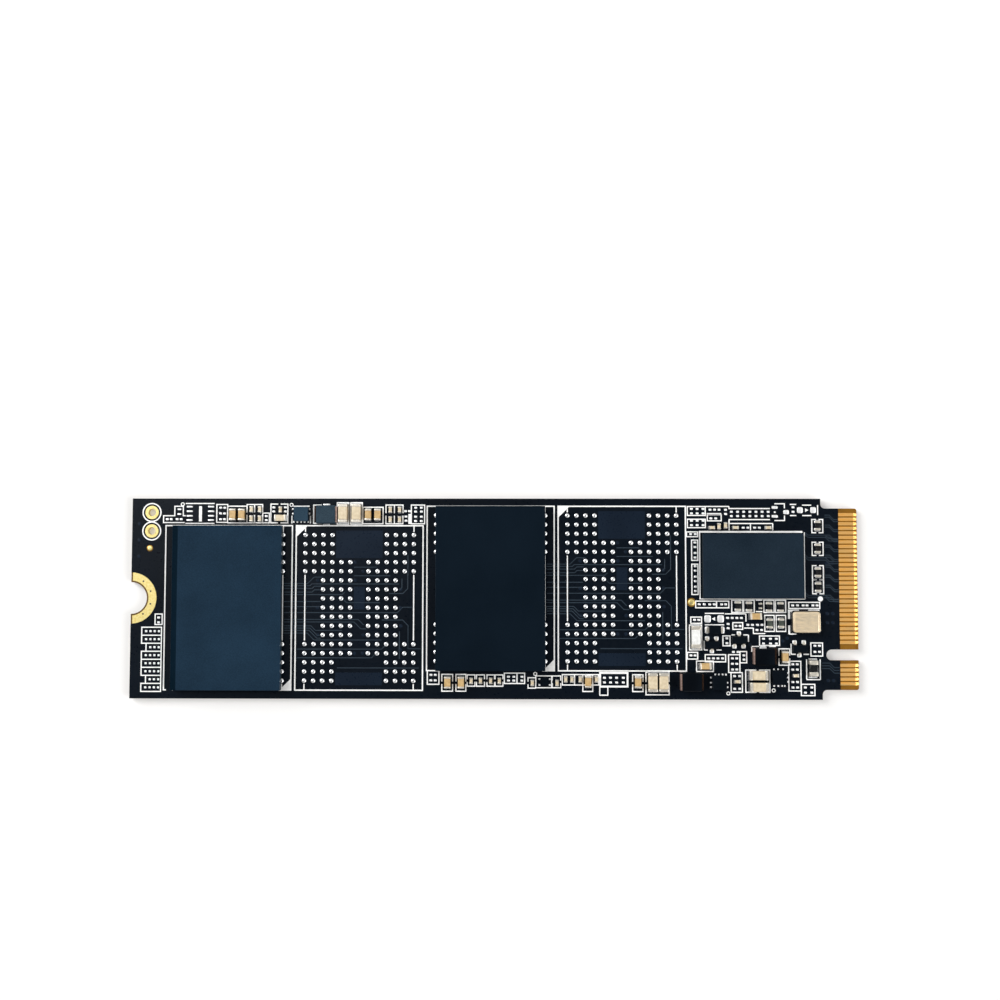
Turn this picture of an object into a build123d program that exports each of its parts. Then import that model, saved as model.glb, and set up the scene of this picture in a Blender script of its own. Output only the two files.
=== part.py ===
from build123d import *
import os

# A solid-state drive on an M.2 card, 22 mm wide and 80 mm long, with all its parts on the upper face.
# The origin is the middle of the card's underside, +X runs to the edge connector and +Z is up.
# Every size is in millimetres.

os.makedirs("parts", exist_ok=True)

# The card along its length, from the mounting end to the connector's edge
MOUNT_BAY = 3.76  # mounting end to the first flash site
SITE_PITCH = 14.46  # one flash site to the next
SITE_COUNT = 4
CONTROLLER_BAY = 14.4  # last flash site to the connector's shoulders
TONGUE_LENGTH = 4.0  # shoulders to the connector's edge

# The card across its width
LOWER_MARGIN = 0.97  # lower long edge to flash sites 1 and 2
UPPER_MARGIN = 0.87  # upper long edge to flash sites 3 and 4
STRIP_DEPTH = 3.03  # flash sites 1 and 2 to the upper long edge
BOARD_THICKNESS = 0.8

# Plated copper, which lies flush with the solder mask
COPPER = 0.04
PLATING = 0.06  # wall of a plated hole

# Edge connector with the M key
CONTACT_PITCH = 0.5
CONTACT_WIDTH = 0.35
CONTACT_SLOTS = 38  # places along the tongue, on the upper face
KEYED_SLOTS = range(29, 33)  # places that the key takes
UPPER_CONTACT_LENGTH = 2.05  # from the mask's edge to the tip
LOWER_CONTACT_LENGTH = 2.45
TONGUE_MARGIN = 0.5  # last contact to the tongue's side
SHOULDER_RADIUS = 0.5
TIP_RADIUS = 0.25
KEY_WIDTH = 1.2
KEY_DEPTH = 3.55
BEVEL_LENGTH = 0.4
BEVEL_DEPTH = 0.18

# Mounting half hole with a ground land on each face
MOUNT_RADIUS = 1.75
LAND_PULLBACK = 0.18  # bare laminate between the lands and the card's cut edges
UPPER_LAND_RADIUS = 2.82
LOWER_LAND_RADIUS = 3.05
LOWER_LAND_INSET = 1.15  # the lower land's centre, in from the card's end

# Plated test holes and plain test lands
TEST_LAND_SIDES = 16  # facets of a test hole or an upper land
LOWER_LAND_SIDES = 8
TEST_HOLE_RADIUS = 0.43
TEST_HOLE_LAND_RADIUS = 0.76
TEST_HOLE_INSET = 2.17  # in from the card's end
TEST_HOLE_DROPS = (1.55, 3.6)  # below the upper long edge
SMALL_LAND_RADIUS = 0.3
ROUND_LAND_RADIUS = 0.42
LOWER_TEST_LAND_RADIUS = 0.55

# Flash sites: a 152-ball pattern for a 12 x 18 mm package
SITE_WIDTH = 14.0
BALL_PITCH = 1.0
BALL_ROW_SPAN = 8  # rows on each side of the middle row
BALL_COLUMN_SPAN = 6  # columns on each side of the middle column
BUMP_SIDES = 8  # facets of one bare bump
BUMP_DIAMETER = 0.52
BUMP_HEIGHT = 0.14
BALL_SIDES = 6  # facets of one soldered ball
BALL_TAPER = 25
FLASH_WIDTH = 12.0
FLASH_LENGTH = 18.0
FLASH_HEIGHT = 1.0
FLASH_STANDOFF = 0.22  # height of the soldered balls

# Controller package and crystal
CONTROLLER_LENGTH = 11.0
CONTROLLER_WIDTH = 7.05
CONTROLLER_HEIGHT = 0.8
CRYSTAL_LENGTH = 3.2
CRYSTAL_WIDTH = 2.5
CRYSTAL_BASE_HEIGHT = 0.42
CRYSTAL_CASTELLATION = 0.22  # cut across each corner of the base
CRYSTAL_LID_LENGTH = 2.96
CRYSTAL_LID_WIDTH = 2.26
CRYSTAL_LID_HEIGHT = 0.3
CRYSTAL_LID_CORNER = 0.16

# Moulded power inductors
INDUCTOR_LENGTH = 2.5
INDUCTOR_WIDTH = 2.0
INDUCTOR_HEIGHT = 1.0
INDUCTOR_TERMINAL = 0.2
INDUCTOR_CORNER = 0.12

# Chip parts, as length, width, height and length of one terminal
BULK_CHIP = (2.0, 1.12, 0.95, 0.3)
FILTER_CHIP = (1.26, 0.7, 0.65, 0.2)
SMALL_CHIP = (0.64, 0.36, 0.33, 0.15)
RESISTOR_CHIP = (1.02, 0.56, 0.35, 0.22)
FUSE_CHIP = (2.4, 1.0, 0.6, 0.4)
BEAD_CHIP = (1.7, 0.92, 0.75, 0.45)
TERMINAL_WRAP = 0.02  # the terminals stand this much proud of the body

# Small semiconductor packages
LEADLESS_WIDTH = 1.56
LEADLESS_HEIGHT = 0.55
MONITOR_WIDTH = 0.8
MONITOR_HEIGHT = 0.4
TRANSISTOR_LENGTH = 1.6
TRANSISTOR_WIDTH = 0.84
TRANSISTOR_HEIGHT = 0.6
TRANSISTOR_DRAFT = 7
TRANSISTOR_CLEARANCE = 0.06  # under the moulded body
LEAD_PITCH = 1.0
LEAD_WIDTH = 0.28
LEAD_REACH = 0.38
LEAD_THICKNESS = 0.12
LEAD_ROOT = 0.34  # height at which a lead leaves the body
DIODE_LENGTH = 1.25
DIODE_WIDTH = 0.86
DIODE_HEIGHT = 0.55
DIODE_LEAD_REACH = 0.3
DIODE_LEAD_WIDTH = 0.6

# Places that follow from the sizes above
BOARD_LENGTH = MOUNT_BAY + SITE_COUNT * SITE_PITCH + CONTROLLER_BAY + TONGUE_LENGTH
BOARD_WIDTH = LOWER_MARGIN + FLASH_LENGTH + STRIP_DEPTH
TONGUE_WIDTH = (CONTACT_SLOTS - 1) * CONTACT_PITCH + CONTACT_WIDTH + 2 * TONGUE_MARGIN
MOUNT_END = -BOARD_LENGTH / 2
CONNECTOR_END = BOARD_LENGTH / 2
SHOULDER = CONNECTOR_END - TONGUE_LENGTH
SHOULDER_STEP = (BOARD_WIDTH - TONGUE_WIDTH) / 2
UPPER_EDGE = BOARD_WIDTH / 2
LOWER_EDGE = -BOARD_WIDTH / 2
SITES_LEFT = [MOUNT_END + MOUNT_BAY + site * SITE_PITCH for site in range(SITE_COUNT)]
LOWER_SITE_Y = LOWER_EDGE + LOWER_MARGIN + FLASH_LENGTH / 2
UPPER_SITE_Y = UPPER_EDGE - UPPER_MARGIN - FLASH_LENGTH / 2
SITE_CENTRES = [
    (SITES_LEFT[0] + SITE_WIDTH / 2, LOWER_SITE_Y),
    (SITES_LEFT[1] + SITE_WIDTH / 2, LOWER_SITE_Y),
    (SITES_LEFT[2] + SITE_WIDTH / 2, UPPER_SITE_Y),
    (SITES_LEFT[3] + SITE_WIDTH / 2, UPPER_SITE_Y),
]
BAY_LEFT = MOUNT_END + MOUNT_BAY + SITE_COUNT * SITE_PITCH
TOP = Plane.XY.offset(BOARD_THICKNESS)


def upper_strip(site, along, drop):
    """A place in the strip above flash sites 1 and 2, from the site's left side and the upper edge."""
    return (SITES_LEFT[site - 1] + along, UPPER_EDGE - drop)


def lower_strip(site, along, rise):
    """A place in the strip below flash sites 3 and 4, from the site's left side and the lower edge."""
    return (SITES_LEFT[site - 1] + along, LOWER_EDGE + rise)


def bay(along, rise):
    """A place in the controller's bay, from the bay's left side and the lower edge."""
    return (BAY_LEFT + along, LOWER_EDGE + rise)


def save(piece, name):
    """Label one finished piece and write it as a STEP file."""
    piece.part.label = name
    export_step(piece.part, f"parts/{name}.step")


# Contact places: the lower row lies half a pitch off the upper one
def contact_places(count, first):
    places = []
    for slot in range(count):
        if slot not in KEYED_SLOTS:
            places.append(first - slot * CONTACT_PITCH)
    return places


FIRST_UPPER_CONTACT = (CONTACT_SLOTS - 1) * CONTACT_PITCH / 2
FIRST_LOWER_CONTACT = FIRST_UPPER_CONTACT - CONTACT_PITCH / 2
KEY_MIDDLE_SLOT = (KEYED_SLOTS[0] + KEYED_SLOTS[-1]) / 2
KEY_Y = (FIRST_UPPER_CONTACT + FIRST_LOWER_CONTACT) / 2 - KEY_MIDDLE_SLOT * CONTACT_PITCH
TEST_HOLES = [(MOUNT_END + TEST_HOLE_INSET, UPPER_EDGE - drop) for drop in TEST_HOLE_DROPS]
SMALL_LAND = (MOUNT_END + 2.0, UPPER_EDGE - 5.5)
ROUND_LAND = bay(0.15, 10.6)
LOWER_TEST_LANDS = [
    bay(12.76, 8.35),
    bay(10.46, 10),
    bay(8.41, 10.2),
    bay(10.61, 7.85),
    bay(8.61, 8.1),
    bay(4.01, 10.27),
    bay(4.56, 8.25),
    bay(6.76, 5.95),
    bay(9.46, 5.1),
    bay(8.21, 2.7),
    bay(12.21, 1.7),
    bay(5.66, 2.05),
    lower_strip(4, 11.42, 3.1),
    lower_strip(3, 13.13, 3.2),
    upper_strip(2, 3.99, 3.5),
    (MOUNT_END + 3.05, UPPER_EDGE - 5.95),
]

# Outlines that the board shares with its plated copper
with BuildSketch() as board_outline:
    with Locations((MOUNT_END, 0)):
        Rectangle(SHOULDER - MOUNT_END, BOARD_WIDTH, align=(Align.MIN, Align.CENTER))
    with Locations((SHOULDER, 0)):
        Rectangle(TONGUE_LENGTH, TONGUE_WIDTH, align=(Align.MIN, Align.CENTER))
    corners = board_outline.vertices().group_by(Axis.X)
    fillet(corners[-1], TIP_RADIUS)
    shoulders = board_outline.vertices().filter_by(lambda v: abs(v.X - SHOULDER) < COPPER)
    fillet(shoulders.sort_by(lambda v: abs(v.Y))[:2], min(SHOULDER_RADIUS, SHOULDER_STEP / 2))
    with Locations((CONNECTOR_END - KEY_DEPTH + KEY_WIDTH / 2, KEY_Y)):
        Circle(KEY_WIDTH / 2, mode=Mode.SUBTRACT)
    with Locations((CONNECTOR_END, KEY_Y)):
        Rectangle(KEY_DEPTH - KEY_WIDTH / 2, KEY_WIDTH, align=(Align.MAX, Align.CENTER), mode=Mode.SUBTRACT)

with BuildSketch() as half_hole:
    with Locations((MOUNT_END, 0)):
        Circle(MOUNT_RADIUS)

with BuildSketch() as mount_pullback:
    with Locations((MOUNT_END, 0)):
        Circle(MOUNT_RADIUS + LAND_PULLBACK)
        Rectangle(2 * LAND_PULLBACK, BOARD_WIDTH)

with BuildSketch(TOP) as upper_mount_opening:
    with Locations((MOUNT_END, 0)):
        Circle(UPPER_LAND_RADIUS)

with BuildSketch() as lower_mount_opening:
    with Locations((MOUNT_END + LOWER_LAND_INSET, 0)):
        Circle(LOWER_LAND_RADIUS)
        Rectangle(LOWER_LAND_RADIUS, BOARD_WIDTH, align=(Align.MAX, Align.CENTER), mode=Mode.SUBTRACT)
        Rectangle(LOWER_LAND_INSET, 2 * LOWER_LAND_RADIUS, align=(Align.MAX, Align.CENTER))

with BuildSketch() as test_hole_barrels:
    with Locations(*TEST_HOLES):
        RegularPolygon(TEST_HOLE_RADIUS + PLATING, TEST_LAND_SIDES)

with BuildSketch() as test_hole_bores:
    with Locations(*TEST_HOLES):
        RegularPolygon(TEST_HOLE_RADIUS, TEST_LAND_SIDES)

with BuildSketch(TOP) as upper_hole_lands:
    with Locations(*TEST_HOLES):
        RegularPolygon(TEST_HOLE_LAND_RADIUS, TEST_LAND_SIDES)

with BuildSketch() as lower_hole_lands:
    with Locations(*TEST_HOLES):
        RegularPolygon(TEST_HOLE_LAND_RADIUS, TEST_LAND_SIDES)

with BuildSketch(TOP) as upper_test_lands:
    with Locations(SMALL_LAND):
        RegularPolygon(SMALL_LAND_RADIUS, TEST_LAND_SIDES)
    with Locations(ROUND_LAND):
        RegularPolygon(ROUND_LAND_RADIUS, TEST_LAND_SIDES)

with BuildSketch() as lower_test_lands:
    with Locations(*LOWER_TEST_LANDS):
        RegularPolygon(LOWER_TEST_LAND_RADIUS, LOWER_LAND_SIDES)

# Bare circuit board: mask openings on both faces, drilled holes, bevelled connector edge
with BuildPart() as circuit_board:
    extrude(board_outline.sketch, amount=BOARD_THICKNESS)
    extrude(half_hole.sketch, amount=BOARD_THICKNESS, mode=Mode.SUBTRACT)
    extrude(test_hole_barrels.sketch, amount=BOARD_THICKNESS, mode=Mode.SUBTRACT)
    for upper_copper in (upper_mount_opening, upper_hole_lands, upper_test_lands):
        extrude(upper_copper.sketch, amount=-COPPER, mode=Mode.SUBTRACT)
    for lower_copper in (lower_mount_opening, lower_hole_lands, lower_test_lands):
        extrude(lower_copper.sketch, amount=COPPER, mode=Mode.SUBTRACT)
    with Locations((CONNECTOR_END, 0, BOARD_THICKNESS)):
        Box(
            UPPER_CONTACT_LENGTH,
            TONGUE_WIDTH,
            COPPER,
            align=(Align.MAX, Align.CENTER, Align.MAX),
            mode=Mode.SUBTRACT,
        )
    with Locations((CONNECTOR_END, 0, 0)):
        Box(
            LOWER_CONTACT_LENGTH,
            TONGUE_WIDTH,
            COPPER,
            align=(Align.MAX, Align.CENTER, Align.MIN),
            mode=Mode.SUBTRACT,
        )
    with BuildSketch(Plane.XZ):
        for surface, inward in ((BOARD_THICKNESS, -1), (0, 1)):
            with BuildLine():
                Polyline(
                    (CONNECTOR_END - BEVEL_LENGTH, surface),
                    (CONNECTOR_END, surface),
                    (CONNECTOR_END, surface + inward * BEVEL_DEPTH),
                    close=True,
                )
            make_face()
    extrude(amount=TONGUE_WIDTH / 2, both=True, mode=Mode.SUBTRACT)
save(circuit_board, "circuit_board")


# Gold contacts: flush with the mask, each tip cut by the card's bevel
def contact_row(name, length, surface, inward, places):
    tip = CONNECTOR_END - BEVEL_LENGTH
    tip_run = COPPER * BEVEL_LENGTH / BEVEL_DEPTH
    start = CONNECTOR_END - length
    with BuildPart() as contact:
        with BuildSketch(Plane.XZ):
            with BuildLine():
                Polyline(
                    (start, surface),
                    (tip, surface),
                    (tip + tip_run, surface + inward * COPPER),
                    (start, surface + inward * COPPER),
                    close=True,
                )
            make_face()
        extrude(amount=CONTACT_WIDTH / 2, both=True)
    with BuildPart() as row:
        with Locations(*[(0, y, 0) for y in places]):
            add(contact.part)
    save(row, name)


contact_row(
    "edge_contacts_top",
    UPPER_CONTACT_LENGTH,
    BOARD_THICKNESS,
    -1,
    contact_places(CONTACT_SLOTS, FIRST_UPPER_CONTACT),
)
contact_row(
    "edge_contacts_bottom",
    LOWER_CONTACT_LENGTH,
    0,
    1,
    contact_places(CONTACT_SLOTS - 1, FIRST_LOWER_CONTACT),
)

# Ground lands of the mounting half hole, inside their mask openings
with BuildPart() as mounting_land_top:
    extrude(upper_mount_opening.sketch, amount=-COPPER)
    extrude(mount_pullback.sketch, amount=BOARD_THICKNESS, mode=Mode.SUBTRACT)
    split(bisect_by=Plane.YZ.offset(MOUNT_END), keep=Keep.TOP)
save(mounting_land_top, "mounting_land_top")

with BuildPart() as mounting_land_bottom:
    extrude(lower_mount_opening.sketch, amount=COPPER)
    extrude(mount_pullback.sketch, amount=BOARD_THICKNESS, mode=Mode.SUBTRACT)
save(mounting_land_bottom, "mounting_land_bottom")

# Plated test holes, each with a land on both faces
with BuildPart() as test_hole_plating:
    extrude(test_hole_barrels.sketch, amount=BOARD_THICKNESS)
    extrude(upper_hole_lands.sketch, amount=-COPPER)
    extrude(lower_hole_lands.sketch, amount=COPPER)
    extrude(test_hole_bores.sketch, amount=BOARD_THICKNESS, mode=Mode.SUBTRACT)
save(test_hole_plating, "test_hole_plating")

with BuildPart() as test_lands_top:
    extrude(upper_test_lands.sketch, amount=-COPPER)
save(test_lands_top, "test_lands_top")

with BuildPart() as test_lands_bottom:
    extrude(lower_test_lands.sketch, amount=COPPER)
save(test_lands_bottom, "test_lands_bottom")


# Flash sites
def ball_steps():
    """Column and row of each ball of the pattern, counted from its middle."""
    steps = []
    for row in range(-BALL_ROW_SPAN, BALL_ROW_SPAN + 1):
        if abs(row) >= 6:
            columns = range(3, BALL_COLUMN_SPAN + 1)
        elif abs(row) >= 4:
            columns = range(1, BALL_COLUMN_SPAN + 1)
        else:
            columns = range(1, BALL_COLUMN_SPAN - 1)
        for column in columns:
            steps.append((-column, row))
            steps.append((column, row))
    return steps


def solder_field(name, site, steps, solder):
    """Copies of one bump or ball at the given places of a site's pattern."""
    x, y = SITE_CENTRES[site - 1]
    with BuildPart() as field:
        with Locations(*[(x + column * BALL_PITCH, y + row * BALL_PITCH, 0) for column, row in steps]):
            add(solder.part)
    save(field, name)


# Bare solder bump: a low faceted dome
with BuildPart() as bump:
    with BuildSketch(TOP) as bump_foot:
        RegularPolygon(BUMP_DIAMETER / 2, BUMP_SIDES)
    loft(sections=[bump_foot.sketch.face(), Vertex(0, 0, BOARD_THICKNESS + BUMP_HEIGHT)], ruled=True)

# Soldered ball: flat on top, where the package sits on it
with BuildPart() as ball:
    with BuildSketch(TOP):
        RegularPolygon(BUMP_DIAMETER / 2, BALL_SIDES)
    extrude(amount=FLASH_STANDOFF, taper=BALL_TAPER)

ALL_BALLS = ball_steps()
OUTER_BALLS = [(column, row) for column, row in ALL_BALLS if abs(column) == BALL_COLUMN_SPAN]
for number, site in ((1, 1), (2, 3)):
    solder_field(f"flash_{number}_outer_balls", site, OUTER_BALLS, ball)
    with BuildPart() as flash_package:
        with BuildSketch(TOP.offset(FLASH_STANDOFF)):
            with Locations(SITE_CENTRES[site - 1]):
                Rectangle(FLASH_WIDTH, FLASH_LENGTH)
        extrude(amount=FLASH_HEIGHT)
    save(flash_package, f"flash_{number}_package")
for number, site in ((1, 2), (2, 4)):
    solder_field(f"spare_site_{number}_bumps", site, ALL_BALLS, bump)

# Controller package, soldered flat on its lands
CONTROLLER_PLACE = bay(6.87, 14.61)
with BuildPart() as controller_package:
    with BuildSketch(TOP):
        with Locations(CONTROLLER_PLACE):
            Rectangle(CONTROLLER_LENGTH, CONTROLLER_WIDTH)
    extrude(amount=CONTROLLER_HEIGHT)
save(controller_package, "controller_package")

# Clock crystal: ceramic base with castellated corners and a metal lid
CRYSTAL_PLACE = bay(12.61, 8.47)
with BuildPart() as crystal_base:
    with BuildSketch(TOP):
        with Locations(CRYSTAL_PLACE):
            Rectangle(CRYSTAL_LENGTH, CRYSTAL_WIDTH)
    extrude(amount=CRYSTAL_BASE_HEIGHT)
    chamfer(crystal_base.edges().filter_by(Axis.Z), CRYSTAL_CASTELLATION)
save(crystal_base, "crystal_base")

with BuildPart() as crystal_lid:
    with BuildSketch(TOP.offset(CRYSTAL_BASE_HEIGHT)):
        with Locations(CRYSTAL_PLACE):
            Rectangle(CRYSTAL_LID_LENGTH, CRYSTAL_LID_WIDTH)
    extrude(amount=CRYSTAL_LID_HEIGHT)
    chamfer(crystal_lid.edges().filter_by(Axis.Z), CRYSTAL_LID_CORNER)
save(crystal_lid, "crystal_lid")

# Power inductors: a moulded block between two end terminals
INDUCTORS = [upper_strip(2, 3.32, 1.79), bay(0.06, 1.93), bay(8.01, 4.77)]
INDUCTOR_BODY = INDUCTOR_LENGTH - 2 * INDUCTOR_TERMINAL
for number, place in enumerate(INDUCTORS, start=1):
    with BuildPart() as inductor_block:
        with BuildSketch(TOP):
            with Locations(place):
                Rectangle(INDUCTOR_BODY, INDUCTOR_WIDTH)
        extrude(amount=INDUCTOR_HEIGHT)
        chamfer(inductor_block.edges().group_by(Axis.Z)[-1].filter_by(Axis.X), INDUCTOR_CORNER)
    save(inductor_block, f"inductor_{number}_block")
with BuildPart() as inductor_terminals:
    with BuildSketch(TOP):
        with Locations(*INDUCTORS):
            with GridLocations(INDUCTOR_LENGTH - INDUCTOR_TERMINAL, 0, 2, 1):
                Rectangle(INDUCTOR_TERMINAL, INDUCTOR_WIDTH - 2 * INDUCTOR_CORNER)
    extrude(amount=INDUCTOR_HEIGHT - INDUCTOR_CORNER)
save(inductor_terminals, "inductor_terminals")


# Chip parts: a body between two wrapped end terminals, lying along X (turn 0) or Y (turn 90)
def chip_bodies(name, chip, places):
    length, width, height, terminal = chip
    with BuildPart() as bodies:
        for (x, y), turn in places:
            with Locations(Location((x, y, BOARD_THICKNESS + TERMINAL_WRAP), (0, 0, turn))):
                Box(
                    length - 2 * terminal,
                    width - 2 * TERMINAL_WRAP,
                    height - 2 * TERMINAL_WRAP,
                    align=(Align.CENTER, Align.CENTER, Align.MIN),
                )
    save(bodies, name)


def chip_terminals(name, chip, places):
    length, width, height, terminal = chip
    with BuildPart() as terminals:
        for (x, y), turn in places:
            with Locations(Location((x, y, BOARD_THICKNESS), (0, 0, turn))):
                with GridLocations(length - terminal, 0, 2, 1):
                    Box(terminal, width, height, align=(Align.CENTER, Align.CENTER, Align.MIN))
    save(terminals, name)


BULK_CAPACITORS = [
    (upper_strip(2, 5.19, 1.65), 90),
    (upper_strip(2, 6.67, 1.65), 90),
    (lower_strip(4, 10.28, 1.88), 90),
    (lower_strip(4, 11.46, 1.88), 90),
    (bay(7.33, 2.66), 0),
    (bay(7.38, 1.39), 0),
]
FILTER_CAPACITORS = [
    (upper_strip(1, 7.43, 1.8), 90),
    (upper_strip(1, 8.42, 1.8), 90),
    (upper_strip(1, 12.71, 2.16), 0),
    (upper_strip(2, 7.95, 1.8), 90),
    (upper_strip(2, 8.99, 1.8), 90),
    (lower_strip(3, 2.3, 1.82), 90),
    (lower_strip(3, 3.79, 1.82), 90),
    (lower_strip(4, 3.24, 1.93), 90),
    (lower_strip(4, 8.69, 1.89), 90),
    (bay(7.12, 9.08), 0),
    (bay(10.27, 4.66), 90),
    (bay(1.57, 3.65), 0),
]
SMALL_CAPACITORS = [
    (upper_strip(1, 9.46, 1.2), 90),
    (upper_strip(1, 9.46, 2.23), 90),
    (upper_strip(1, 10.39, 1.2), 90),
    (upper_strip(1, 10.39, 2.23), 90),
    (upper_strip(1, 12.68, 1.23), 90),
    (upper_strip(2, 10.38, 1.24), 90),
    (upper_strip(2, 10.38, 2.31), 90),
    (upper_strip(2, 11.41, 1.24), 90),
    (upper_strip(2, 11.41, 2.31), 90),
    (lower_strip(3, 4.9, 2.0), 90),
    (lower_strip(3, 5.92, 2.0), 90),
    (lower_strip(3, 7.04, 2.0), 90),
    (lower_strip(3, 7.99, 2.0), 90),
    (lower_strip(3, 11.59, 1.78), 90),
    (lower_strip(3, 14.3, 1.78), 90),
    (lower_strip(4, 0.79, 2.18), 90),
    (lower_strip(4, 1.47, 2.18), 90),
    (lower_strip(4, 2.38, 2.18), 90),
    (lower_strip(4, 4.14, 2.18), 90),
    (bay(2.43, 18.81), 0),
    (bay(3.22, 18.95), 90),
    (bay(3.94, 19.04), 90),
    (bay(5.04, 18.81), 0),
    (bay(8.62, 18.81), 0),
    (bay(7.66, 10.22), 90),
    (bay(11.45, 2.63), 0),
    (bay(5.08, 1.97), 0),
]
RESISTORS = [
    (bay(14.04, 19.04), 90),
    (bay(14.04, 16.52), 90),
    (bay(14.04, 13.91), 90),
    (bay(14.04, 12.28), 90),
    (bay(5.22, 10.2), 90),
    (bay(6.44, 10.15), 90),
    (bay(8.63, 10.11), 90),
    (bay(9.89, 10.11), 90),
    (bay(8.69, 8.31), 90),
    (bay(9.93, 8.34), 90),
]
FUSE = [(bay(0.58, 6.81), 90)]
BEAD = [(bay(13.34, 3.44), 90)]

for number, capacitor in enumerate(BULK_CAPACITORS, start=1):
    chip_bodies(f"bulk_capacitor_{number}", BULK_CHIP, [capacitor])
chip_terminals("bulk_capacitor_terminals", BULK_CHIP, BULK_CAPACITORS)
for number, capacitor in enumerate(FILTER_CAPACITORS, start=1):
    chip_bodies(f"filter_capacitor_{number}", FILTER_CHIP, [capacitor])
chip_terminals("filter_capacitor_terminals", FILTER_CHIP, FILTER_CAPACITORS)
chip_bodies("small_capacitors", SMALL_CHIP, SMALL_CAPACITORS)
chip_terminals("small_capacitor_terminals", SMALL_CHIP, SMALL_CAPACITORS)
chip_bodies("resistors", RESISTOR_CHIP, RESISTORS)
chip_terminals("resistor_terminals", RESISTOR_CHIP, RESISTORS)
chip_bodies("fuse", FUSE_CHIP, FUSE)
chip_terminals("fuse_terminals", FUSE_CHIP, FUSE)
chip_bodies("ferrite_bead", BEAD_CHIP, BEAD)
chip_terminals("ferrite_bead_terminals", BEAD_CHIP, BEAD)


# Leadless regulator and monitor packages
def leadless_package(name, place, width, height):
    with BuildPart() as package:
        with BuildSketch(TOP):
            with Locations(place):
                Rectangle(width, width)
        extrude(amount=height)
    save(package, name)


leadless_package("regulator_1", upper_strip(2, 0.54, 1.73), LEADLESS_WIDTH, LEADLESS_HEIGHT)
leadless_package("regulator_2", bay(3.11, 1.83), LEADLESS_WIDTH, LEADLESS_HEIGHT)
leadless_package("regulator_3", bay(9.66, 2.41), LEADLESS_WIDTH, LEADLESS_HEIGHT)
leadless_package("voltage_monitor", lower_strip(3, 12.93, 1.95), MONITOR_WIDTH, MONITOR_HEIGHT)

# Three-lead transistors: single lead on the side that the last number gives
TRANSISTORS = [(bay(2.34, 5.97), -1), (bay(5.31, 6.5), 1), (bay(11.89, 5.55), -1)]
for number, (place, single_side) in enumerate(TRANSISTORS, start=1):
    with BuildPart() as transistor:
        with BuildSketch(TOP.offset(TRANSISTOR_CLEARANCE)):
            with Locations(place):
                Rectangle(TRANSISTOR_LENGTH, TRANSISTOR_WIDTH)
        extrude(amount=TRANSISTOR_HEIGHT - TRANSISTOR_CLEARANCE, taper=TRANSISTOR_DRAFT)
    save(transistor, f"transistor_{number}")


def transistor_lead(side):
    """One bent lead that leaves the body's face at y = 0 and steps down to the board."""
    with BuildPart() as lead:
        with BuildSketch(Plane.YZ):
            with BuildLine():
                Polyline(
                    (0, LEAD_ROOT),
                    (side * (LEAD_THICKNESS + TRANSISTOR_CLEARANCE), LEAD_ROOT),
                    (side * (LEAD_THICKNESS + TRANSISTOR_CLEARANCE), LEAD_THICKNESS),
                    (side * LEAD_REACH, LEAD_THICKNESS),
                    (side * LEAD_REACH, 0),
                    (side * TRANSISTOR_CLEARANCE, 0),
                    (side * TRANSISTOR_CLEARANCE, LEAD_ROOT - LEAD_THICKNESS),
                    (0, LEAD_ROOT - LEAD_THICKNESS),
                    close=True,
                )
            make_face()
        extrude(amount=LEAD_WIDTH / 2, both=True)
    return lead.part


with BuildPart() as transistor_leads:
    for (x, y), single_side in TRANSISTORS:
        with Locations((x, y + single_side * TRANSISTOR_WIDTH / 2, BOARD_THICKNESS)):
            add(transistor_lead(single_side))
        with Locations((x, y - single_side * TRANSISTOR_WIDTH / 2, BOARD_THICKNESS)):
            with GridLocations(LEAD_PITCH, 0, 2, 1):
                add(transistor_lead(-single_side))
save(transistor_leads, "transistor_leads")

# Flat-lead diode
DIODE_PLACE = bay(2.67, 7.58)
with BuildPart() as diode:
    with BuildSketch(TOP):
        with Locations(DIODE_PLACE):
            Rectangle(DIODE_LENGTH, DIODE_WIDTH)
    extrude(amount=DIODE_HEIGHT)
save(diode, "diode")

with BuildPart() as diode_leads:
    with BuildSketch(TOP):
        with Locations(DIODE_PLACE):
            with GridLocations(DIODE_LENGTH + DIODE_LEAD_REACH, 0, 2, 1):
                Rectangle(DIODE_LEAD_REACH, DIODE_LEAD_WIDTH)
    extrude(amount=LEAD_THICKNESS)
save(diode_leads, "diode_leads")
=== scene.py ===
import itertools
import math

import bmesh
import bpy
from mathutils import Euler, Matrix, Vector


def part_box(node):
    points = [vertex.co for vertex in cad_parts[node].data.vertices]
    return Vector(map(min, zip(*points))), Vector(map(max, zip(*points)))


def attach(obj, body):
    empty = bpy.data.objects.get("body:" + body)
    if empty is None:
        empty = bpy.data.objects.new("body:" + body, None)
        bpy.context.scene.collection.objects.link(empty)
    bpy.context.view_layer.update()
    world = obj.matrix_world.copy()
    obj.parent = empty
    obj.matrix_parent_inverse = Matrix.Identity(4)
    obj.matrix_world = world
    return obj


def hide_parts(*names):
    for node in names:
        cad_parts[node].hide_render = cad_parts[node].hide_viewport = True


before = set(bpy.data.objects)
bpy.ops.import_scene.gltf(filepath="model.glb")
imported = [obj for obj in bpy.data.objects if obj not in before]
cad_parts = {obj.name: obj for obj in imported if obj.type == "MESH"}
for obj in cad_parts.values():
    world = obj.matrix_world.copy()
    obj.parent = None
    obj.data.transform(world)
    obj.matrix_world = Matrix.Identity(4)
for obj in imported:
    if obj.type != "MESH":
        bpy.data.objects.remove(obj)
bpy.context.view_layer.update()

# Looks of a solid-state drive on an M.2 card that lies with its parts upwards, +X to the edge connector.
# Places and sizes are in millimetres, and MM turns them to metres.
MM = 0.001
DOUBLES = 1e-6  # metres within which two points are one
BOARD_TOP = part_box("circuit_board")[1].z / MM
SUNK = 0.004  # how deep a thin finish is let into the board


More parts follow.
